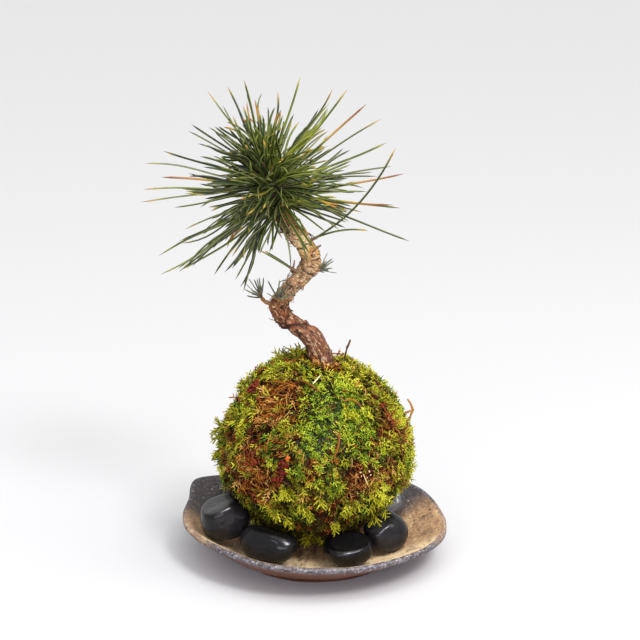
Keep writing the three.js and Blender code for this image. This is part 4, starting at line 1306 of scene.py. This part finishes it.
def makeFlakes():
    rng = np.random.default_rng(31)
    shares = [rng.uniform(0.2, 1.0, trunk["flakes"]), rng.normal(0.5, 0.03, trunk["bendFlakes"])]
    shares += [rng.uniform(*stretch) for stretch in trunk["flakeStretches"]]
    shares = np.clip(np.concatenate(shares), 0.15, 1)
    count = len(shares)
    middle, radius, ahead, first, second = trunkAt(shares)
    outward = roundTheStem(rng, first, second)
    way = ahead * rng.choice([-1, 1], count)[:, None]
    way = way + np.cross(ahead, outward) * rng.normal(0, 0.5, (count, 1))
    axes = tangentFrames(outward, way, rng.uniform(-0.05, 0.4, count), rng.normal(0, 0.25, count))
    size = rng.uniform(*trunk["flakeSize"], count)
    feet = middle + outward * (radius - 0.1)[:, None]
    kinds = trunk["flakeKinds"]
    shapes = []
    for kind in range(kinds):
        here = np.arange(count) % kinds == kind
        flake = flakeForm(kind)
        marks = marksOf(here.sum(), rng.uniform(0, 1, here.sum()), rng.uniform(0.15, 0.85, here.sum()), 1)
        shape = copies(flake, 0, feet[here], axes[here] * size[here, None, None], marks)
        shape[2][:, 0] = np.repeat(shares[here], len(flake[0]))
        shapes.append(shape)
    return shapes


def makeStrands():
    # thin dry fibres that have come off the bark
    rng = np.random.default_rng(33)
    many = trunk["strands"]
    shares = np.concatenate([rng.uniform(0.84, 1.0, many * 2 // 3), rng.uniform(0.45, 0.8, many // 3)])
    shares = np.minimum(shares, 0.99)
    count = len(shares)
    each = (count, 1)
    high = shares > 0.82
    middle, radius, ahead, first, second = trunkAt(shares)
    outward = roundTheStem(rng, first, second)
    aside = np.cross(ahead, outward)
    start = middle + outward * radius[:, None]
    length = rng.uniform(*trunk["strandLength"], each)
    free = (rng.uniform(0, 1, each) > 0.66) * 1.0  # most still lie along the bark
    end = start + (ahead * rng.uniform(-1, 1, each) + aside * rng.normal(0, 0.3, each)
                   + outward * rng.uniform(0.0, 0.12, each) * (1 + 3 * free)) * length
    bulge = (start + end) / 2 + outward * rng.uniform(0.5, 1.4, each) * (1 + free) + [0, 0, -0.4]
    tones = rng.uniform(0, 1, count) * np.where(high, 0.72, 1.0)
    marks = marksOf(count, tones, rng.uniform(0, 0.6, count), 1)
    thick = rng.uniform(*trunk["strandRadius"], count) * np.where(high, 1.3, 1.0)
    steps = trunk["strandSteps"]
    form = rodForm(4, steps)
    radii = thick[:, None] * np.linspace(1, 0.6, steps + 1)
    shape = sweep(form, bowedLines(start, bulge, end, steps), radii, marks=marks)
    shape[2][:, 0] = np.repeat(shares, len(form[0]))
    return shape


def unbentGrain(tree, scale, stretch, detail=3.0, rough=0.6):
    # noise on the trunk as it would be if it stood straight, in millimetres
    where = place(tree, "ShaderNodeAttribute", {}, attribute_name="unbent").outputs["Vector"]
    return noiseOn(tree, where, scale, detail, rough, stretch)


def barkMaterial():
    made, tree, shader = newMaterial("pine bark", {"Roughness": 0.8, "Specular IOR Level": 0.28})
    share, shade, crack, loose = readGrowth(tree)
    cloud = unbentGrain(tree, 0.22, (1, 1, 0.7), 4)
    # streaks run round the stem high up and along it low down
    roundStem = unbentGrain(tree, 0.9, (0.5, 0.5, 2.6), 4, 0.65)
    along = unbentGrain(tree, 0.55, (1.2, 1.2, 0.45), 5, 0.7)
    rings = blended(tree, spread(tree, share, 0.44, 0.56), along, roundStem)
    fine = grain(tree, 1500, 3, 0.65)
    stretches = [(0.16, "#552b19"), (0.24, "#7a4830"), (0.36, "#915e42"), (0.46, "#7e4526"),
                 (0.53, "#94602f"), (0.6, "#b9936c"), (0.7, "#cda77e"), (0.78, "#e0a65a"),
                 (0.84, "#ffdda6"), (0.885, "#e2b986"), (0.915, "#97643f"), (0.95, "#6e432a"),
                 (1.0, "#4e2d1b")]
    base = ramp(tree, stirred(tree, share, cloud, 0.22), stretches)
    pale = blended(tree, 0.72, base, "#ffe3b8")
    dark = blended(tree, 0.86, base, "#26110a")
    colour = blended(tree, spread(tree, rings, 0.51, 0.64, 0, 0.95), base, pale)
    colour = blended(tree, spread(tree, rings, 0.485, 0.38, 0, 0.95), colour, dark)
    burnt = blended(tree, 0.65, base, "#a1541c")
    colour = blended(tree, spread(tree, shade, 0.66, 0.86, 0, 0.55), colour, burnt)
    colour = blended(tree, spread(tree, fine, 0.6, 0.4, 0, 0.52), colour, dark)
    # the cracks are deep low down and faint further up; the same mark carries the painted shade on the side
    # turned from the light
    cracksAndShade = times(tree, spread(tree, share, 0.5, 0.62, 0.9, 0.75), spread(tree, crack, 0.25, 0.9))
    colour = blended(tree, cracksAndShade, colour, "#33180c")
    loosened = ramp(tree, shade, [(0.0, "#2a170e"), (0.35, "#59331c"), (0.65, "#96602f"), (1.0, "#d4ad7a")])
    colour = blended(tree, times(tree, loose, 0.8), colour, loosened)
    tree.links.new(colour, shader.inputs["Base Color"])
    raised(tree, shader, plus(tree, fine, times(tree, rings, 1.6)), 0.8, 0.0006)
    return made


def makeBarkPiece(name, shapes, stands=(), skin=None):
    # what isn't the trunk itself takes its grain from where it stands
    unbent = np.vstack([shape[0] for shape in shapes]) if skin is None else skin
    makePiece(name, shapes, bark, stands, unbent)


bark = barkMaterial()
trunkShapes, trunkSkin = makeTrunk()
makeBarkPiece("pine_trunk", trunkShapes, ["trunk"], trunkSkin)
makeBarkPiece("bark_flakes", makeFlakes() + [makeStrands()])


# Crown: one shoot set all round with pairs of long needles, as in the solids, and more pairs between them
crown = {
    "shoot": [(-16.8, -0.4, 180.6), (-19.3, -0.6, 187.5), (-22.6, -1.2, 195), (-25, -2, 202.5)],
    "shootRadii": [3.9, 4.3, 4, 2.6],
    # the solid's pairs, then the shorter ones between them, with the room that each draw has
    "pairs": {"count": 92, "crowding": 1, "openBy": 0.3, "turnBy": 0.4, "turnFrom": 0, "arch": (-3, 8),
              "swing": 1},
    "morePairs": {"count": 132, "crowding": 1.25, "openBy": 0.5, "turnBy": 1.4, "turnFrom": 1.7,
                  "arch": (0, 12), "swing": 2},
    "widest": 122,
    "reach": [32, 33, 36, 42, 45, 44],
    "widestReach": 2.34,
    "golden": 2.39996,
    "fullTurn": 6.28,
    "thickness": 1.3,
    "wave": 1.3,  # how far a needle sways from its even bend
    "innerFace": 0.35,  # how far a needle's flat inner face stands out, as a share
    "scales": 120,
    "rings": 12,
    # the ways from which the needles are painted lit, and towards which they are painted shaded
    "upperRight": (0.45, -0.35, 0.8),
    "lowerLeft": (-0.8, -0.2, -0.5),
}
# tips of the needles that stand out of the tuft, each with its bow upwards
longTips = [(-51.1, -8, 238.2, 0), (-42.4, 10, 237.5, 0), (-33.7, -12, 244.3, 0), (-18.2, 4, 236, 0),
            (-7.4, 4, 243.1, 0), (8.2, -8, 239.9, 0), (15.3, 6, 237, -2), (24.7, 8, 229.5, 0),
            (31.5, -6, 224.9, 2), (34.5, 8, 210.6, 2), (36.4, -8, 202.1, 5), (43.2, 6, 195.7, 0),
            (37.2, -10, 183.7, 2), (41.2, 4, 178.9, 3), (45.7, -4, 164.2, 6), (-81.5, -10, 203.9, 1),
            (-74.1, 8, 206.4, 0), (-84.1, 6, 187.7, 0), (-84.4, -8, 184.5, 2), (-73.4, -16, 198.5, 0),
            (-67.1, -22, 185.1, 0), (-64.8, 16, 165.3, 2), (-69.9, -12, 163, 0), (-77.4, 6, 154.2, 0),
            (-75.7, -6, 148.2, -2), (-65.8, -14, 152.2, -8), (-39.3, -6, 145.3, 2),
            (-34.1, 10, 150.8, 3), (4.9, -24, 173.7, 3), (-3.3, -14, 169.2, 4), (22.9, 16, 174, 4)]
driedTips = (7, 11, 19, 12)  # rows of longTips that are dry
shootSteps = 100
shootLine = smoothLine(crown["shoot"], shootSteps)
shootAxis = unit(shootLine[-1] - shootLine[0])


def sideways(axis):
    first = unit(np.cross([0, 1, 0], axis))
    return first, np.cross(axis, first)


shootAcross, shootForward = sideways(shootAxis)


def needleFoot(opening, stray=0.0):
    # a needle that opens wide grows low on the shoot
    share = 0.96 - 0.86 * min(1, opening / crown["widest"]) ** 0.9 + stray
    place = min(0.96, max(0.1, share)) * shootSteps
    low = int(place)
    return shootLine[low] * (1 - place + low) + shootLine[low + 1] * (place - low)


def pairDirection(opening, turn):
    return (shootAxis * math.cos(opening) + shootAcross * math.sin(opening) * math.cos(turn)
            + shootForward * math.sin(opening) * math.sin(turn))


def needlePair(i):
    # rows of start, middle, end for the two needles of pair i
    count = crown["pairs"]["count"]
    more = i >= count
    kind = crown["morePairs"] if more else crown["pairs"]
    j = (i - count) * count / kind["count"] + 0.37 if more else i
    narrowest = math.cos(math.radians(crown["widest"]))
    level = 1 - (1 - narrowest) * ((j + 0.5) / count) ** kind["crowding"]
    opening = abs(math.acos(max(-1, min(1, level))) + kind["openBy"] * (chance(i, 2) - 0.5))
    turn = j * crown["golden"] + kind["turnBy"] * (chance(i, 3) - 0.5) + kind["turnFrom"]
    direction = pairDirection(opening, turn)
    apart = unit(pairDirection(opening, turn + 0.1) - direction)
    foot = needleFoot(math.degrees(opening), 0.4 * (chance(i, 9) - 0.5))
    outlier = 1.25 if chance(i, 4) > 0.82 and not more else 1
    usual = alongList(crown["reach"], opening / crown["widestReach"])
    reach = usual * between(0.74, 1.14, chance(i, 5)) * outlier
    if more:  # shorter, and not quite from the middle of the shoot
        reach *= between(0.5, 0.95, chance(i, 14))
        foot = foot + apart * between(-4, 4, chance(i, 17)) + shootAxis * between(-5, 4, chance(i, 18))
    # it leaves the shoot at a sharp angle and then bends outwards
    arch = math.sin(opening) * between(*kind["arch"], chance(i, 6))
    bow = shootAxis * arch + apart * (between(-4, 4, chance(i, 10)) * kind["swing"])
    rows = []
    for side in (-1, 1):
        start = foot + apart * side * 0.66
        end = (foot + direction * reach * (1 + 0.05 * side * (chance(i, 7) - 0.5))
               + apart * side * between(1.6, 4.5, chance(i, 8)))
        rows.append((start, (start + end) / 2 + bow, end))
    return rows, direction, foot


def overTrunk(tip):
    # True where a needle would hang in front of the trunk
    return tip[1] < 4 and tip[2] < 174 and abs(tip[0] + 12) < 19


def swayed(lines, seed):
    # each line with a slight double bend, its ends where they were
    rng = np.random.default_rng(seed)
    t = np.linspace(0, 1, lines.shape[1])[None, :, None]
    across = unit(np.cross(lines[:, -1] - lines[:, 0], rng.normal(0, 1, (len(lines), 3))))[:, None]
    size = rng.normal(0, crown["wave"], (len(lines), 1, 1))
    return lines + across * size * np.sin(2 * math.pi * t) * (0.4 + 0.6 * t)


def bowedRows(rows, steps):
    starts, middles, ends = (np.array(each) for each in zip(*rows))
    return bowedLines(starts, middles, ends, steps)


def rollsFor(rows, k):
    return np.array([crown["fullTurn"] * chance(i, k) for i in range(len(rows))])


def needleBlades(lines, rolls, marks, thickness=crown["thickness"], flat=1.0):
    # half-round needles along the lines, flat where each lay against its twin
    rings = lines.shape[1] - 1
    points, faces = rodForm(6, rings, True)
    points[:, 1] = np.where(points[:, 1] < 0, points[:, 1] * crown["innerFace"], points[:, 1])
    t = np.linspace(0, 1, rings + 1)
    body = 0.8 + 0.2 * easeIn(0, 0.12, t)
    radii = thickness / 2 * body * (1 - 0.26 * t**2) * (1 - 0.4 * easeIn(0.94, 1, t))
    return sweep((points, faces), lines, radii[None], flat, rolls, marks)


def crownPairs():
    # the pairs' rows and marks, and a row for the sheath of each pair
    rows, marks, sheaths = [], [], []
    upperRight, lowerLeft = (unit(np.array(crown[way])) for way in ("upperRight", "lowerLeft"))
    solidPairs = crown["pairs"]["count"]
    for i in range(solidPairs + crown["morePairs"]["count"]):
        pair, direction, foot = needlePair(i)
        if i >= solidPairs and overTrunk(pair[0][2]):
            continue
        rows += pair
        # painted light and shade: needles pointing up to the right are painted lighter, those pointing down
        # to the left darker
        lit = max(0, float(direction @ upperRight)) ** 4
        paintedShade = max(0, float(direction @ lowerLeft))
        shade = 0.3 + 0.66 * (chance(i, 21) - 0.5) + 0.34 * lit - 0.2 * paintedShade
        gold = 0.34 * chance(i, 22) ** 2 + (0.6 if chance(i, 23) > 0.96 else 0)
        marks += [(shade + 0.12 * (chance(i, 24 + side) - 0.5), gold) for side in (0, 1)]
        sheaths.append([foot + direction * along for along in (0.4, 2.6, 5.2)])
    return rows, marks, sheaths


def longNeedles():
    rows, marks = [], []
    for i, (x, y, z, bow) in enumerate(longTips):
        tip = np.array([x, y, z])
        outward = unit(tip - shootLine[int(shootSteps * 0.4)])
        foot = needleFoot(math.degrees(math.acos(max(-1, min(1, float(outward @ shootAxis))))))
        rows.append((foot, (foot + tip) / 2 + [0, 0, bow], tip))
        gold = 1.0 if i in driedTips else 0.08 + 0.3 * chance(i, 27)
        marks.append((0.38 + 0.6 * (chance(i, 26) - 0.5), gold))
    return rows, marks


def makeNeedles():
    rows, marks, sheaths = crownPairs()
    longRows, longMarks = longNeedles()
    rows += longRows
    lines = swayed(bowedRows(rows, crown["rings"]), 43)
    needles = needleBlades(lines, rollsFor(rows, 28), marks + longMarks)
    sleeve = sweep(rodForm(6, 3), bowedRows(sheaths, 3), [[1.0, 1.02, 0.9, 0.78]],
                   marks=[(0.2 + 0.6 * chance(i, 29), 0.3) for i in range(len(sheaths))])
    return needles, sleeve


def scaleForm():
    form = bmesh.new()
    bmesh.ops.create_cone(form, cap_ends=True, segments=5, radius1=0.5, radius2=0.12, depth=1,
                          matrix=Matrix.Rotation(math.pi / 2, 4, "Y"))
    bmesh.ops.scale(form, vec=(1, 1, 0.3), verts=form.verts)
    return takeForm(form)


def makeShoot():
    # the woody core and the brown scales that cover it
    rng = np.random.default_rng(41)
    steps = 24
    radii = alongList(crown["shootRadii"], np.linspace(0, 1, steps + 1)) * 0.93
    core = sweep(rodForm(16, steps), smoothLine(crown["shoot"], steps)[None], radii[None])
    core[2][:] = (0.97, 0.2, 0.3, 0.5)
    count = crown["scales"]
    shares = rng.uniform(0, 1, count)
    first, second = framesAlong(shootLine[None])
    ring = np.rint(shares * shootSteps).astype(int)
    outward = roundTheStem(rng, first[0][ring], second[0][ring])
    feet = shootLine[ring] + outward * (alongList(crown["shootRadii"], shares) * 0.97)[:, None]
    headings = np.tile(shootAxis, (count, 1)) + rng.normal(0, 0.2, (count, 3))
    axes = tangentFrames(outward, headings, rng.uniform(0.2, 0.7, count), rng.normal(0, 0.3, count))
    marks = marksOf(count, rng.uniform(0, 0.8, count), rng.uniform(0, 0.5, count), 1)
    scales = copies(scaleForm(), 0.97, feet, axes * rng.uniform(2.2, 4.2, count)[:, None, None], marks)
    return [core, scales]


def needleMaterial():
    made, tree, shader = newMaterial("pine needle", {"Roughness": 0.42, "Specular IOR Level": 0.26})
    along, shade, gold, edge = readGrowth(tree)
    shade = stirred(tree, shade, grain(tree, 260, 3, 0.6), 0.4)
    green = ramp(tree, shade, [(0.0, "#131d0e"), (0.3, "#273713"), (0.55, "#4a5a19"), (0.8, "#7f8827"),
                               (1.0, "#bfc048")])
    lit = blended(tree, 0.5, green, "#cfcf78")
    colour = blended(tree, spread(tree, edge, 0.6, 1.0, 0, 0.7), green, lit)
    # the tips turn yellow, then brown, further down on some needles than on others
    turning = plus(tree, along, times(tree, gold, 0.5))
    tipTone = ramp(tree, plus(tree, turning, -0.5),
                   [(0.42, "#939a34"), (0.54, "#b5a13c"), (0.68, "#a87a30"), (0.9, "#7d4a24")])
    colour = blended(tree, spread(tree, turning, 0.96, 1.16), colour, tipTone)
    colour = blended(tree, spread(tree, along, 0.07, 0.0, 0, 0.8), colour, "#8f8a54")
    tree.links.new(colour, shader.inputs["Base Color"])
    return made


def sheathMaterial():
    made, tree, shader = newMaterial("needle sheath", {"Roughness": 0.7})
    along, shade, _, _ = readGrowth(tree)
    tone = ramp(tree, plus(tree, shade, times(tree, along, -0.3)),
                [(0.0, "#231810"), (0.4, "#3f2e1a"), (0.8, "#6b5330")])
    tree.links.new(tone, shader.inputs["Base Color"])
    return made


needleFinish = needleMaterial()
sheathFinish = sheathMaterial()
crownNeedles, crownSheaths = makeNeedles()
makePiece("pine_needles", [crownNeedles], needleFinish, ["needle_crown"])
makePiece("needle_sheaths", [crownSheaths], sheathFinish)
makeBarkPiece("crown_shoot", makeShoot())

# Sprigs of short young needles
# each row: the side, the twig's line, the needles' middle heading, how wide they open, count and length
sprigs = [("left", [(-20, -1.6, 131.6), (-25, -2.4, 133.8), (-27.8, -3.2, 138)],
           (-0.45, -0.15, 0.9), 50, 10, 10),
          ("front", [(-17.4, -3, 134), (-18, -7, 135.4), (-18.4, -8.8, 137.6)],
           (0.15, -0.35, 0.9), 60, 9, 10.5),
          ("right", [(-3, 0.6, 149.6), (0.8, -0.6, 149), (2.6, -1.2, 149.8)],
           (0.85, -0.2, 0.5), 52, 8, 8.8)]
young = {"thickness": 0.86, "flat": 0.8, "rings": 7, "lineSteps": 100, "twigSteps": 16}


def youngNeedles(number, line, aim, fan, count, reach):
    steps = young["lineSteps"]
    curve = smoothLine(line, steps)
    axis = unit(np.array(aim, float))
    first, second = sideways(axis)
    rows, marks = [], []
    for i in range(count * 2):
        extra = i >= count  # shorter ones between those of the solid
        turn = i * crown["golden"] + number + (0.9 if extra else 0)
        opened = math.radians(fan) * math.sqrt(((i % count) + 0.5) / count)
        across = first * math.cos(turn) + second * math.sin(turn)
        direction = across * math.sin(opened) + axis * math.cos(opened)
        start = curve[int(steps * (0.74 + 0.2 * chance(i, 11 + number)))]
        shorter = between(0.3, 0.62, chance(i, 35)) if extra else 1
        end = start + direction * (reach * (0.85 + 0.3 * chance(i, 12 + number)) * shorter)
        middle = (start + end) / 2 + across * 0.5 + [0, 0, between(-0.5, 0.3, chance(i, 36))]
        rows.append((start, middle, end))
        marks.append((chance(i, 37 + number), 0.2 * chance(i, 38)))
    lines = bowedRows(rows, young["rings"])
    return needleBlades(lines, rollsFor(rows, 39), marks, young["thickness"], young["flat"])


def sprigTwig(number, line):
    steps = young["twigSteps"]
    lumps = np.array([1 + 0.14 * math.sin(k * 1.9 + number) for k in range(steps + 1)])
    radii = np.linspace(1.15, 0.85, steps + 1) * lumps
    twig = sweep(rodForm(10, steps), smoothLine(line, steps)[None], radii[None])
    twig[2][:] = (0.5, 0.75, 0.2, 0.4)
    return twig


def youngMaterial():
    made, tree, shader = newMaterial("young needle", {"Roughness": 0.5, "Specular IOR Level": 0.28})
    along, shade, _, edge = readGrowth(tree)
    tone = ramp(tree, shade, [(0.0, "#34332a"), (0.5, "#525240"), (1.0, "#76765c")])
    tone = blended(tree, spread(tree, edge, 0.6, 1.0, 0, 0.5), tone, "#9ba38d")
    tone = blended(tree, spread(tree, along, 0.9, 1.0, 0, 0.6), tone, "#5a4a34")
    tree.links.new(tone, shader.inputs["Base Color"])
    return made


youngFinish = youngMaterial()
for number, (side, line, *rest) in enumerate(sprigs, 1):
    blades, twig = youngNeedles(number, line, *rest), sprigTwig(number, line)
    makePiece(f"young_needles_{side}", [blades], youngFinish, [f"sprig_{side}"])
    makeBarkPiece(f"sprig_twig_{side}", [twig])

# Lone needles that grow straight out of the trunk
# each row: the side, the foot, the tip of the sheath, and the needles' tips with their bows
loneNeedles = [("left", (-8, -1, 147.6), (-13.6, -2.4, 151.6),
                [(-27, -5, 160.2, 0.4), (-24.6, -8.6, 160.6, 0.4)]),
               ("right", (-6.4, 0.2, 161.8), (0.8, 0, 165.6),
                [(25.3, 0, 168.7, 4), (37.4, -30, 216, -8)])]
lone = {"rings": 14, "rolls": (0.4, 2.6), "marks": [(0.45, 0.45), (0.3, 0.3)], "sheathMarks": [(0.9, 0.3)],
        "sheathRadii": [[0.95, 0.95, 0.9, 0.84, 0.78, 0.72, 0.62]]}


def makeLoneNeedles(foot, sheathTip, tips):
    foot, sheathTip = np.array(foot), np.array(sheathTip)
    start = foot * 0.15 + sheathTip * 0.85
    ends = np.array([tip[:3] for tip in tips], float)
    middles = (start + ends) / 2 + [[max(0, -tip[3]) * 0.7, 0, tip[3]] for tip in tips]
    lines = bowedLines([start] * 2, middles, ends, lone["rings"])
    blades = needleBlades(lines, np.array(lone["rolls"]), lone["marks"])
    sheath = bowedLines([foot], [(foot + sheathTip) / 2], [sheathTip], 6)
    return blades, sweep(rodForm(8, 6), sheath, lone["sheathRadii"], marks=lone["sheathMarks"])


for side, *rest in loneNeedles:
    blades, sleeve = makeLoneNeedles(*rest)
    makePiece(f"long_needles_{side}", [blades], needleFinish, [f"lone_needles_{side}"])
    makePiece(f"lone_sheath_{side}", [sleeve], sheathFinish)

# Dry twigs caught in the moss: the side, the tone, and the foot, tip and radius of each rod
mossTwigs = [("right", 0.62, [((38.5, -3.4, 75.4), (48.3, -4, 78.4), 0.7),
                              ((48, -4, 78.4), (45.3, -4.6, 84.2), 0.6),
                              ((48, -4, 78.4), (46.4, -3.6, 72.8), 0.6)]),
             ("top", 0.26, [((13.6, 4.4, 97), (15.4, 3, 108.8), 0.6),
                            ((15.3, 3, 108.4), (16.9, 2.8, 112.6), 0.6)])]


def makeMossTwig(tone, rods):
    shapes = []
    steps = 12
    for i, (foot, tip, radius) in enumerate(rods):
        foot, tip = np.array(foot, float), np.array(tip, float)
        middle = (foot + tip) / 2 + np.array([0.3, 0.2, 0.25]) * (1 if i % 2 else -1)
        line = smoothLine([foot, middle, tip], steps)
        lumps = np.array([1 + 0.16 * math.sin(k * 2.3 + i) for k in range(steps + 1)])
        radii = np.linspace(1.05, 0.7, steps + 1) * lumps * radius
        shape = sweep(rodForm(8, steps), line[None], radii[None])
        shape[2][:, 1:] = (tone, 0, 0)
        shapes.append(shape)
    return shapes


def twigMaterial():
    made, tree, shader = newMaterial("dry twig", {"Roughness": 0.6, "Specular IOR Level": 0.35})
    _, tone, _, _ = readGrowth(tree)
    tone = stirred(tree, tone, grain(tree, 700, 4, 0.65), 0.5)
    colour = ramp(tree, tone, [(0.0, "#2b1d14"), (0.3, "#5d3b1c"), (0.55, "#94611f"), (0.8, "#c08c34"),
                               (1.0, "#dcb765")])
    tree.links.new(colour, shader.inputs["Base Color"])
    return made


twigFinish = twigMaterial()
for side, tone, rods in mossTwigs:
    makePiece(f"moss_twig_{side}", makeMossTwig(tone, rods), twigFinish, [f"dry_twig_{side}"])
